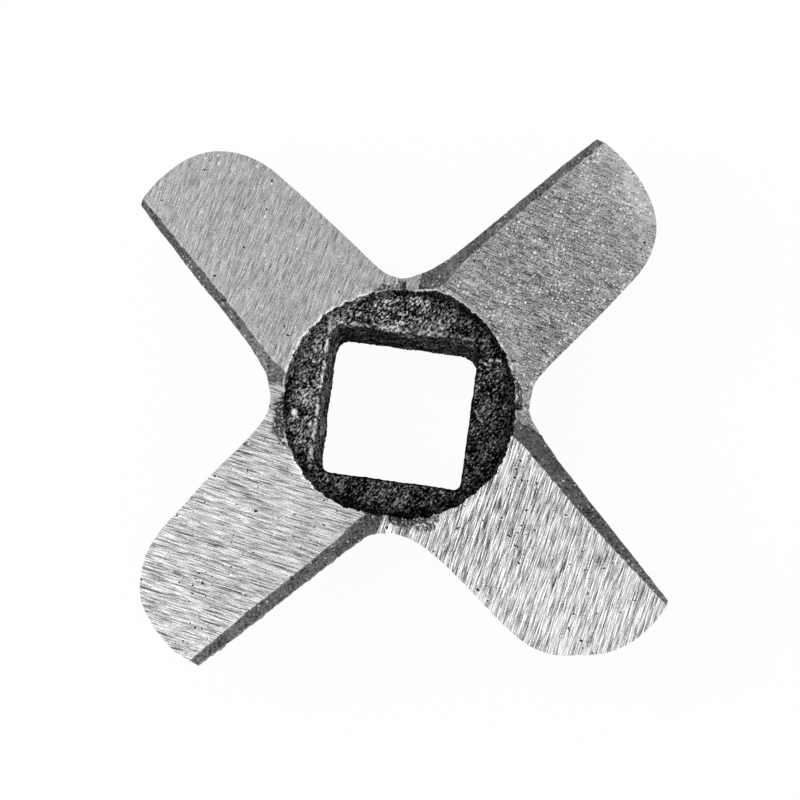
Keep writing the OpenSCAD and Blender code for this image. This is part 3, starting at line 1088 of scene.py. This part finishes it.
class Tree:
    """Short ways to add and join the nodes of one shader or group."""

    def __init__(self, tree):
        self.nodes, self.links = tree.nodes, tree.links

    def feed(self, socket, value):
        """Links a socket to another, or sets its value."""
        if isinstance(value, bpy.types.NodeSocket):
            self.links.new(value, socket)
        else:
            socket.default_value = value

    def add(self, kind, inputs=None, **settings):
        """A node with its settings and inputs."""
        node = self.nodes.new(kind)
        for name, value in settings.items():
            setattr(node, name, value)
        for name, value in (inputs or {}).items():
            self.feed(node.inputs[name], value)
        return node

    def math(self, operation, a, b=0.0, c=0.0):
        """The result of a calculation on numbers."""
        return self.add("ShaderNodeMath", {0: a, 1: b, 2: c}, operation=operation).outputs[0]

    def mix(self, factor, a, b):
        """A colour between two."""
        return self.add("ShaderNodeMix", {0: factor, 6: a, 7: b}, data_type="RGBA").outputs[2]

    def span(self, value, low, high, out_low=0.0, out_high=1.0):
        """A number carried from one range to another and kept inside it."""
        return self.add("ShaderNodeMapRange", {
            0: value, 1: low, 2: high, 3: out_low, 4: out_high}).outputs[0]

    def noise(self, vector, scale, detail=2.0, roughness=0.5):
        """Fractal noise, from 0 to 1 round 0.5."""
        return self.add("ShaderNodeTexNoise", {
            "Vector": vector, "Scale": scale, "Detail": detail, "Roughness": roughness}).outputs[0]

    def scaled(self, value, level):
        """A colour or a vector times a number."""
        return self.add("ShaderNodeVectorMath", {0: value, 3: level}, operation="SCALE").outputs[0]

    def marked(self, name):
        """A value that was stored for every vertex."""
        return self.add("ShaderNodeAttribute", attribute_name=name).outputs["Fac"]

    def grinding_map(self):
        """The UV map in millimetres whose U runs along the grinding marks."""
        return self.add("ShaderNodeUVMap", uv_map="grinding").outputs[0]

    def place(self):
        """Places on the piece, in metres."""
        return self.add("ShaderNodeTexCoord").outputs["Object"]


NUMBER, PLACE = "NodeSocketFloat", "NodeSocketVector"


def effect(name, inputs, outputs):
    """A new shader node group, its tree, and the sockets of its input and output nodes."""
    tree = bpy.data.node_groups.new(name, "ShaderNodeTree")
    for socket, (kind, default) in inputs.items():
        made = tree.interface.new_socket(socket, in_out="INPUT", socket_type=kind)
        if default is not None:
            made.default_value = default
    for socket in outputs:
        tree.interface.new_socket(socket, in_out="OUTPUT", socket_type=NUMBER)
    t = Tree(tree)
    return t, t.add("NodeGroupInput").outputs, t.add("NodeGroupOutput").inputs


def grinding_marks():
    """Straight marks of a wheel, for a UV map in millimetres whose U runs along them."""
    t, given, out = effect(
        "Grinding marks", {
            "Vector": (PLACE, None), "Width": (NUMBER, 1.0), "Length": (NUMBER, 1.0),
            "Scratches": (NUMBER, 0.3)},
        ("Tone", "Line", "Scratch"))
    split = t.add("ShaderNodeSeparateXYZ", {0: given["Vector"]}).outputs
    u = t.math("DIVIDE", split[0], given["Length"])
    v = t.math("DIVIDE", split[1], given["Width"])

    def stretched(along, across, seed):
        """Noise with so many waves to the millimetre along and across the marks."""
        at = t.add("ShaderNodeCombineXYZ", {
            0: t.math("MULTIPLY", u, along), 1: t.math("MULTIPLY", v, across), 2: seed}).outputs[0]
        return t.noise(at, 1.0, 1.5, 0.55)

    total = 0.0
    for along, across, weight in ((0.9, 8.5, 0.7), (0.45, 4.2, 0.24), (0.22, 1.9, 0.1), (0.1, 0.8, 0.05)):
        waves = t.span(stretched(along, across, weight * 40), 0.3, 0.7, -1.0, 1.0)
        total = t.math("MULTIPLY_ADD", waves, weight, total)
    # Thin bright ridges beside dark furrows
    ridge = t.math("ABSOLUTE", t.math("SUBTRACT", stretched(0.25, 5.0, 31.0), 0.5))
    furrow = t.math("ABSOLUTE", t.math("SUBTRACT", stretched(0.25, 5.0, 57.0), 0.5))
    line = t.math("SUBTRACT", t.span(ridge, 0.06, 0.0), t.span(furrow, 0.06, 0.0))
    level = t.math("MULTIPLY_ADD", given["Scratches"], 0.16, 0.2)
    scratch = t.span(stretched(0.24, 3.0, 5.0), level, t.math("SUBTRACT", level, 0.035))
    t.feed(out["Tone"], total)
    t.feed(out["Line"], line)
    t.feed(out["Scratch"], scratch)


def cast_grain():
    """Sandy grain of a casting, on Object coordinates."""
    t, given, out = effect("Cast grain", {"Vector": (PLACE, None)}, ("Tone", "Height", "Speck"))
    fine = t.noise(given["Vector"], 5.0 / MM, 2.0, 0.65)
    lumps = t.noise(given["Vector"], 0.8 / MM, 2.0)
    specks = t.noise(given["Vector"], 5.5 / MM, 0.0)
    t.feed(out["Tone"], t.math("MULTIPLY_ADD", t.math("SUBTRACT", lumps, 0.5), 0.4, fine))
    t.feed(out["Height"], fine)
    t.feed(out["Speck"], t.span(specks, 0.66, 0.74))


def pits():
    """Small ragged pits with bright rims, and curled flaws, for a UV map in millimetres."""
    t, given, out = effect(
        "Pits", {"Vector": (PLACE, None), "Spacing": (NUMBER, 1.0), "Share": (NUMBER, 0.2)},
        ("Pit", "Rim", "Curl"))
    scale = t.math("DIVIDE", 1.0, given["Spacing"])
    bend = t.add("ShaderNodeTexNoise", {"Vector": given["Vector"], "Scale": 4.2, "Detail": 2.0}).outputs[1]
    at = t.add("ShaderNodeVectorMath", {
        0: given["Vector"], 1: t.scaled(bend, 0.45)}, operation="ADD").outputs[0]
    cells = t.add("ShaderNodeTexVoronoi", {"Vector": at, "Scale": scale}, voronoi_dimensions="2D").outputs
    chance = t.add("ShaderNodeSeparateColor", {0: cells["Color"]}).outputs
    areas = t.span(t.noise(given["Vector"], 0.25, 1.0), 0.35, 0.65, 0.2, 2.2)
    there = t.math("LESS_THAN", chance[0], t.math("MULTIPLY", given["Share"], areas))
    size = t.span(t.math("POWER", chance[1], 2.0), 0.0, 1.0, 0.08, 0.2)
    share = t.math("DIVIDE", cells["Distance"], size)
    t.feed(out["Pit"], t.math("MULTIPLY", t.span(share, 1.05, 0.75), there))
    rim = t.math("MULTIPLY", t.span(share, 1.7, 1.35), t.span(share, 1.0, 1.2))
    t.feed(out["Rim"], t.math("MULTIPLY", rim, there))
    near = t.math("ABSOLUTE", t.math("SUBTRACT", t.noise(given["Vector"], 2.2, 1.5), 0.5))
    where = t.span(t.noise(given["Vector"], 0.5, 1.0), 0.52, 0.6)
    t.feed(out["Curl"], t.math("MULTIPLY", t.span(near, 0.045, 0.015), where))


def sparkle():
    """Tiny painted glints, for a UV map in millimetres."""
    t, given, out = effect("Sparkle", {"Vector": (PLACE, None), "Amount": (NUMBER, 0.5)}, ("Spark",))
    cells = t.add("ShaderNodeTexVoronoi", {
        "Vector": given["Vector"], "Scale": 3.3}, voronoi_dimensions="2D").outputs
    chance = t.add("ShaderNodeSeparateColor", {0: cells["Color"]}).outputs
    areas = t.span(t.noise(given["Vector"], 0.35, 2.0), 0.4, 0.62, 0.25, 2.0)
    there = t.math("LESS_THAN", chance[0], t.math("MULTIPLY", given["Amount"], areas))
    size = t.span(t.math("POWER", chance[1], 2.0), 0.0, 1.0, 0.18, 0.4)
    dot = t.math("MULTIPLY", t.span(t.math("DIVIDE", cells["Distance"], size), 1.0, 0.75), there)
    t.feed(out["Spark"], t.math("MULTIPLY", dot, t.span(chance[2], 0.0, 1.0, 0.35, 1.0)))


def started(name):
    """A new material, its tree and its Principled BSDF."""
    material = bpy.data.materials.new(name)
    material.use_nodes = True
    return material, Tree(material.node_tree), material.node_tree.nodes["Principled BSDF"]


def placed(t, name, **inputs):
    """A group node with its own values."""
    node = t.add("ShaderNodeGroup", node_tree=bpy.data.node_groups[name])
    for socket, value in inputs.items():
        t.feed(node.inputs[socket], value)
    return node.outputs


def bump(t, shader, height, distance):
    """Feeds a height, in units of a distance, into the shader's normal."""
    node = t.add("ShaderNodeBump", {"Height": height, "Strength": 1.0, "Distance": distance})
    t.feed(shader.inputs["Normal"], node.outputs[0])


def grey(value):
    """A neutral grey of a reflectance."""
    return (value, value, value * 1.012, 1.0)


def ground_iron(
        name, shades, wear_and_glint_colour, width, length, contrast, specks, lines, scratches, curls, pitted,
        sparks, roughness):
    """A face ground with straight marks, with cast grain where the wheel missed it.

    The marks have a width and a length, and their contrast, specks, lines and scratches are
    amounts. Curls are bright ones above 0 and dark ones below. Pitted and sparks are the shares of
    the face's small cells that hold a pit or a spark."""
    dark, light = grey(shades[0]), grey(shades[1])
    material, t, shader = started(name)
    uv, place = t.grinding_map(), t.place()
    marks = placed(t, "Grinding marks", Vector=uv, Width=width, Length=length, Scratches=scratches)
    grains = placed(t, "Cast grain", Vector=place)
    share = t.math("MULTIPLY_ADD", t.marked("pocks"), 0.6, pitted)
    holes = placed(t, "Pits", Vector=uv, Spacing=0.6, Share=share)
    glints = placed(t, "Sparkle", Vector=uv, Amount=sparks)
    missed, wear_and_glint, stands = t.marked("unground"), t.marked("wear_and_glint"), t.marked("stands")
    cloud = t.math("SUBTRACT", t.noise(place, 160.0, 2.0), 0.5)
    flecks = t.math("SUBTRACT", t.noise(place, 10000.0, 1.0), 0.5)
    # The face's tone, partly painted light
    level = t.math("MULTIPLY_ADD", marks["Tone"], contrast, t.marked("tone_and_painted_light"))
    level = t.math("MULTIPLY_ADD", marks["Line"], lines, level)
    level = t.math("MULTIPLY_ADD", cloud, 0.1, level)
    level = t.math("MULTIPLY_ADD", flecks, specks, level)
    surface = t.mix(t.span(level, 0.0, 1.0), dark, light)
    curl = grey(0.9 if curls > 0 else 0.06)
    surface = t.mix(t.math("MULTIPLY", holes["Curl"], abs(curls)), surface, curl)
    surface = t.mix(t.math("MULTIPLY", marks["Scratch"], 0.85), surface, grey(0.07))
    surface = t.mix(t.math("MULTIPLY", holes["Rim"], 0.5), surface, light)
    surface = t.mix(t.math("MULTIPLY", holes["Pit"], 0.95), surface, grey(0.02))
    # Painted glints
    surface = t.mix(glints["Spark"], surface, grey(0.98))
    # The unground skin, with painted shade and light by height, darkest in the cracks
    cast = t.math("MULTIPLY_ADD", grains["Tone"], 2.8, t.math("MULTIPLY", stands, 0.7))
    cast = t.math("POWER", t.span(cast, 1.45, 2.3), 2.0)
    cast = t.mix(t.math("MULTIPLY_ADD", grains["Speck"], 0.6, cast), grey(0.012), grey(0.85))
    surface = t.mix(missed, surface, cast)
    # Wear, with its painted glints and highlights
    surface = t.mix(wear_and_glint, surface, wear_and_glint_colour)
    t.feed(shader.inputs["Base Color"], surface)
    # Burrs and painted glints are less metallic, as is the unground skin, so that their colours show as
    # they are
    broken = t.math("MAXIMUM", t.math("MAXIMUM", wear_and_glint, glints["Spark"]), missed)
    t.feed(shader.inputs["Metallic"], t.span(broken, 0.0, 1.0, 0.85, 0.12))
    rough = t.span(marks["Tone"], -0.6, 0.6, roughness + 0.07, roughness - 0.07)
    t.feed(shader.inputs["Roughness"], t.math("MULTIPLY_ADD", missed, 0.15, rough))
    height = t.math("MULTIPLY_ADD", marks["Scratch"], -0.8, marks["Tone"])
    height = t.math("MULTIPLY_ADD", holes["Pit"], -2.5, height)
    height = t.math("MULTIPLY_ADD", t.math("MULTIPLY", grains["Height"], missed), 4.0, height)
    bump(t, shader, height, 0.012 * MM)
    return material


def bevel_iron(name, colour, wear_and_glint_colour):
    """The dull bevel under a leading edge, its dark grey a painted reflection."""
    material, t, shader = started(name)
    uv = t.grinding_map()
    marks = placed(t, "Grinding marks", Vector=uv, Width=1.1, Length=0.7, Scratches=0.2)
    grains = placed(t, "Cast grain", Vector=t.place())
    glints = placed(t, "Sparkle", Vector=uv, Amount=0.17)
    holes = placed(t, "Pits", Vector=uv, Spacing=0.7, Share=0.1)
    missed, wear_and_glint = t.marked("unground"), t.marked("wear_and_glint")
    level = t.math("ADD", marks["Tone"], t.span(grains["Tone"], 0.25, 0.75, -0.2, 4.2))
    surface = t.scaled(colour, t.math("MULTIPLY", level, t.marked("painted_light_and_bevel_tone")))
    surface = t.mix(t.math("MULTIPLY", holes["Pit"], 0.8), surface, grey(0.02))
    surface = t.mix(t.math("MULTIPLY", glints["Spark"], 0.8), surface, grey(0.8))
    surface = t.mix(missed, surface, t.mix(grains["Speck"], grey(0.06), grey(0.5)))
    surface = t.mix(wear_and_glint, surface, wear_and_glint_colour)
    t.feed(shader.inputs["Base Color"], surface)
    broken = t.math("MAXIMUM", wear_and_glint, glints["Spark"])
    t.feed(shader.inputs["Metallic"], t.span(broken, 0.0, 1.0, 0.7, 0.1))
    shader.inputs["Roughness"].default_value = 0.5
    bump(t, shader, t.math("MULTIPLY_ADD", grains["Height"], 2.0, marks["Tone"]), 0.012 * MM)
    return material


def sand_cast(name, colour, wear_and_glint_colour):
    """Cast iron of the recess, black between its grains and grey on their tops: its grain, with painted
    shade and light by height.
    """
    material, t, shader = started(name)
    # The sand was swept across at an angle
    swept = t.add("ShaderNodeMapping", {
        "Vector": t.place(), "Rotation": (0, 0, math.radians(53)), "Scale": (1.4, 0.85, 1.0)},
        vector_type="TEXTURE").outputs[0]
    grains = placed(t, "Cast grain", Vector=swept)
    shine = t.marked("painted_light_and_bevel_tone")
    # Painted shade and light by height: low places darker and high ones lighter
    top = t.math("MULTIPLY_ADD", grains["Tone"], 2.8, t.math("MULTIPLY", t.marked("stands"), 0.55))
    level = t.math("POWER", t.span(top, 1.42, 2.3), 2.7)
    level = t.math("MULTIPLY", t.math("MULTIPLY_ADD", level, 3.9, 0.01), shine)
    specks = t.math("MULTIPLY", grains["Speck"], t.math("MULTIPLY", t.math("POWER", shine, 0.5), 0.9))
    surface = t.scaled(colour, t.math("ADD", level, specks))
    surface = t.mix(t.marked("wear_and_glint"), surface, wear_and_glint_colour)
    t.feed(shader.inputs["Base Color"], surface)
    t.feed(shader.inputs["Roughness"], t.span(grains["Tone"], 0.36, 0.64, 0.7, 0.45))
    shader.inputs["Specular IOR Level"].default_value = 0.0
    bump(t, shader, grains["Height"], 0.06 * MM)
    return material


def cast_skin(name, colour, wear_and_glint_colour):
    """Cast iron as it came from the sand."""
    material, t, shader = started(name)
    grains = placed(t, "Cast grain", Vector=t.place())
    surface = t.scaled(colour, t.span(grains["Tone"], 0.3, 0.7, 0.4, 1.6))
    surface = t.mix(t.math("MULTIPLY", grains["Speck"], 0.15), surface, grey(0.5))
    surface = t.mix(t.marked("wear_and_glint"), surface, wear_and_glint_colour)
    t.feed(shader.inputs["Base Color"], surface)
    shader.inputs["Metallic"].default_value = 0.4
    t.feed(shader.inputs["Roughness"], t.span(grains["Tone"], 0.36, 0.64, 0.67, 0.43))
    bump(t, shader, grains["Height"], 0.03 * MM)
    return material


def coat(piece, finish):
    """Makes the materials, in the order of the faces' finishes."""
    for make in (grinding_marks, cast_grain, pits, sparkle):
        make()
    wear_and_glint = (*finish.wear_and_glint_colour, 1.0)
    piece.data.materials.clear()
    for material in (
        ground_iron(
            "sparkling ground iron", finish.sparkling_shades, wear_and_glint, width=0.9, length=0.75, contrast=0.48,
            specks=2.0, lines=0.15, scratches=0.25, curls=0.6, pitted=0.03, sparks=0.34, roughness=0.44),
        ground_iron(
            "finely ground iron", finish.fine_shades, wear_and_glint, width=0.95, length=1.0, contrast=0.46,
            specks=1.1, lines=0.12, scratches=0.2, curls=0.2, pitted=0.05, sparks=0.03, roughness=0.44),
        ground_iron(
            "pitted ground iron", finish.pitted_shades, wear_and_glint, width=0.95, length=1.5, contrast=0.56,
            specks=0.9, lines=0.25, scratches=0.85, curls=-0.2, pitted=0.16, sparks=0.02, roughness=0.4),
        ground_iron(
            "coarsely ground iron", finish.coarse_shades, wear_and_glint, width=1.0, length=1.4, contrast=0.75,
            specks=0.9, lines=0.35, scratches=0.5, curls=-0.25, pitted=0.14, sparks=0.03, roughness=0.4),
        bevel_iron("ground bevel", finish.bevel_dark_reflection, wear_and_glint),
        sand_cast("recess iron", finish.recess_colour, wear_and_glint),
        cast_skin("cast skin", finish.skin_colour, wear_and_glint),
        ground_iron(
            "boss back iron", finish.fine_shades, wear_and_glint, width=1.0, length=1.2, contrast=0.7,
            specks=0.8, lines=0.2, scratches=0.2, curls=0.2, pitted=0.06, sparks=0.02, roughness=0.44),
    ):
        piece.data.materials.append(material)


def even_mesh(piece):
    """Gives the solid an even mesh of 0.32 mm squares that keeps its sharp edges."""
    # The depth makes 256 squares, and the knife fills 0.57 of them
    modify(
        piece, "REMESH", mode="SHARP", octree_depth=8, scale=0.57, sharpness=1.0,
        use_remove_disconnected=False)


def refine(piece, sizes):
    """Halves the mesh's squares in and round the recess, by the bevels and at the hole's foot.

    Nearer to the recess and to the bevels' edges, they are halved once more."""
    near = by_recess(piece, sizes, 0.6 * MM, 2.1 * MM) | by_lines(piece, sizes, 0.5 * MM)
    subdivide(piece, near | by_hole_foot(piece, sizes))
    nearer = by_recess(piece, sizes, 0.15 * MM, 1.3 * MM) | by_lines(piece, sizes, 0.16 * MM)
    subdivide(piece, nearer)


def sculpt(piece, sizes):
    """Gives the casting its real outline, edges and sandy skin, and maps them for the materials."""
    raise_ledges(piece, sizes)
    give_ledges(piece, sizes)
    wander_outline(piece, sizes)
    shift_core(piece, sizes)
    shape_hole(piece, sizes)
    wear_and_glint = serrate_edges(piece, sizes)
    patch, shade = missed_patches(piece, sizes)
    wear_and_glint = burr_rim(piece, sizes, wear_and_glint)
    wear_and_glint, hollow = shape_and_highlight_recess(piece, sizes, wear_and_glint)
    stands = sculpt_sand(piece, sizes, patch)
    mark(piece, "wear_and_glint", wear_and_glint)
    mark(piece, "unground", patch)
    # How high each place stands, less painted shade in the cracks and deeper patches
    mark(piece, "stands", stands - 0.9 * shade)
    mark(piece, "pocks", pocked(piece))
    # Painted light and shade on the cast surfaces and the bevels' tone, with painted shade in the hollow
    # beside the lump
    mark(piece, "painted_light_and_bevel_tone", painted_light_and_bevel_tone(piece, sizes) * (1 - 0.9 * hollow))
    mark(piece, "tone_and_painted_light", tone_and_light_of_faces(piece, sizes))
    put_in_group(piece, "skin", rise(share_of(piece, finishes(piece) == SKIN), 0.7, 1.0))
    displace(piece, "skin", sizes.skin_depth * 1.6, 2.2 * MM)
    displace(piece, "skin", sizes.skin_depth, 0.6 * MM)


class KNIFE_OT_casting(bpy.types.Operator):
    """Models the casting over its solid, with its cast skin, ground faces and flaws"""

    bl_idname = "knife.casting"
    bl_label = "Casting"

    def execute(self, context):
        sizes = context.scene.knife_sizes
        piece = copied_solid()
        even_mesh(piece)
        coat(piece, context.scene.knife_finish)
        sort_faces(piece, sizes)
        only(piece)
        bpy.ops.object.shade_smooth_by_angle(angle=math.radians(28))
        refine(piece, sizes)
        sculpt(piece, sizes)
        lay_grinding(piece, sizes)
        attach(piece, "root")
        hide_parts("knife")
        return {"FINISHED"}


# The stage


def seen_directly(t):
    """1 where a ray comes from the camera, a reflection or a clear surface."""
    rays = t.add("ShaderNodeLightPath").outputs
    return t.math("MAXIMUM", rays["Is Camera Ray"], t.math(
        "MAXIMUM", rays["Is Glossy Ray"], rays["Is Transmission Ray"]))


def white_floor(stage):
    """White where it is seen directly, with some of the knife's shadow."""
    material, t, shader = started("white floor")
    t.nodes.remove(shader)
    plain = t.add("ShaderNodeBsdfDiffuse", {"Color": grey(0.8)}).outputs[0]
    bright = t.add("ShaderNodeEmission", {"Color": (1, 1, 1, 1), "Strength": 1.0}).outputs[0]
    paper = t.add("ShaderNodeBsdfDiffuse", {"Color": (1, 1, 1, 1)}).outputs[0]
    shown = t.add("ShaderNodeMixShader", {0: stage.floor_shadow, 1: bright, 2: paper}).outputs[0]
    mixed = t.add("ShaderNodeMixShader", {0: seen_directly(t), 1: plain, 2: shown}).outputs[0]
    t.feed(t.nodes["Material Output"].inputs["Surface"], mixed)
    return material


def sky(stage):
    """A soft light from all round, white to the camera."""
    world = bpy.data.worlds.new("studio")
    bpy.context.scene.world = world
    world.use_nodes = True
    t = Tree(world.node_tree)
    rays = t.add("ShaderNodeLightPath").outputs
    back = world.node_tree.nodes["Background"]
    back.inputs["Color"].default_value = (1, 1, 1, 1)
    t.feed(back.inputs["Strength"], t.span(rays["Is Camera Ray"], 0.0, 1.0, stage.sky_strength, 1.0))


def towards(azimuth, elevation):
    """The direction of an azimuth, from the X axis, and an elevation."""
    level = math.cos(elevation)
    return Vector((math.cos(azimuth) * level, math.sin(azimuth) * level, math.sin(elevation)))


def lamp(name, azimuth, elevation, distance, size, radiance):
    """A square panel of a radiance that faces the knife from a direction, given in degrees."""
    back = towards(math.radians(azimuth), math.radians(elevation))
    bpy.ops.object.light_add(type="AREA", location=back * distance)
    light = bpy.context.object
    light.name = name
    light.rotation_euler = back.to_track_quat("Z", "Y").to_euler()
    light.data.size = size
    light.data.energy = radiance * math.pi * size * size


def aimed_camera(context, stage):
    """A camera that stands where the settings say and looks at the aim."""
    camera = bpy.data.objects.new("camera", bpy.data.cameras.new("camera"))
    context.collection.objects.link(camera)
    back = towards(stage.camera_azimuth, stage.camera_elevation)
    up = Vector((-math.sin(stage.camera_roll), math.cos(stage.camera_roll), 0))
    right = up.cross(back).normalized()
    up = back.cross(right)
    turn = Matrix((right, up, back)).transposed()
    camera.matrix_world = Matrix.Translation(AIM + back * stage.camera_distance) @ turn.to_4x4()
    camera.data.sensor_width = 36.0
    camera.data.lens = stage.lens
    camera.data.clip_start = 0.01
    return camera


class KNIFE_OT_stage(bpy.types.Operator):
    """Sets up the floor, the light and the camera"""

    bl_idname = "knife.stage"
    bl_label = "Stage"

    def execute(self, context):
        stage = context.scene.knife_stage
        for name in ("Cube", "Light", "Camera"):
            if name in bpy.data.objects:
                bpy.data.objects.remove(bpy.data.objects[name])
        bpy.ops.mesh.primitive_plane_add(size=4.0, location=(0, 0, 0))
        floor = context.object
        floor.name = "floor"
        floor.data.materials.append(white_floor(stage))
        sky(stage)
        lamp("key panel", azimuth=180, elevation=48, distance=1.0, size=0.72, radiance=stage.key_strength)
        context.scene.camera = aimed_camera(context, stage)
        context.scene.view_settings.view_transform = "Standard"
        return {"FINISHED"}


class KNIFE_PT_panel(bpy.types.Panel):
    """Lists the knife's pieces and settings"""

    bl_idname = "KNIFE_PT_panel"
    bl_label = "Meat grinder knife"
    bl_space_type = "VIEW_3D"
    bl_region_type = "UI"
    bl_category = "Knife"

    def draw(self, context):
        for operator in (KNIFE_OT_casting, KNIFE_OT_stage):
            self.layout.operator(operator.bl_idname)
        scene = context.scene
        for settings in (scene.knife_sizes, scene.knife_finish, scene.knife_stage):
            box = self.layout.box()
            for name in settings.bl_rna.properties.keys():
                if name not in ("rna_type", "name"):
                    box.prop(settings, name)


CLASSES = (KnifeSizes, KnifeFinish, KnifeStage, KNIFE_OT_casting, KNIFE_OT_stage, KNIFE_PT_panel)


def register():
    for cls in CLASSES:
        bpy.utils.register_class(cls)
    bpy.types.Scene.knife_sizes = PointerProperty(type=KnifeSizes)
    bpy.types.Scene.knife_finish = PointerProperty(type=KnifeFinish)
    bpy.types.Scene.knife_stage = PointerProperty(type=KnifeStage)


def unregister():
    for name in ("knife_sizes", "knife_finish", "knife_stage"):
        delattr(bpy.types.Scene, name)
    for cls in reversed(CLASSES):
        bpy.utils.unregister_class(cls)


def main():
    register()
    bpy.ops.knife.stage()
    bpy.ops.knife.casting()


if __name__ == "__main__":
    main()
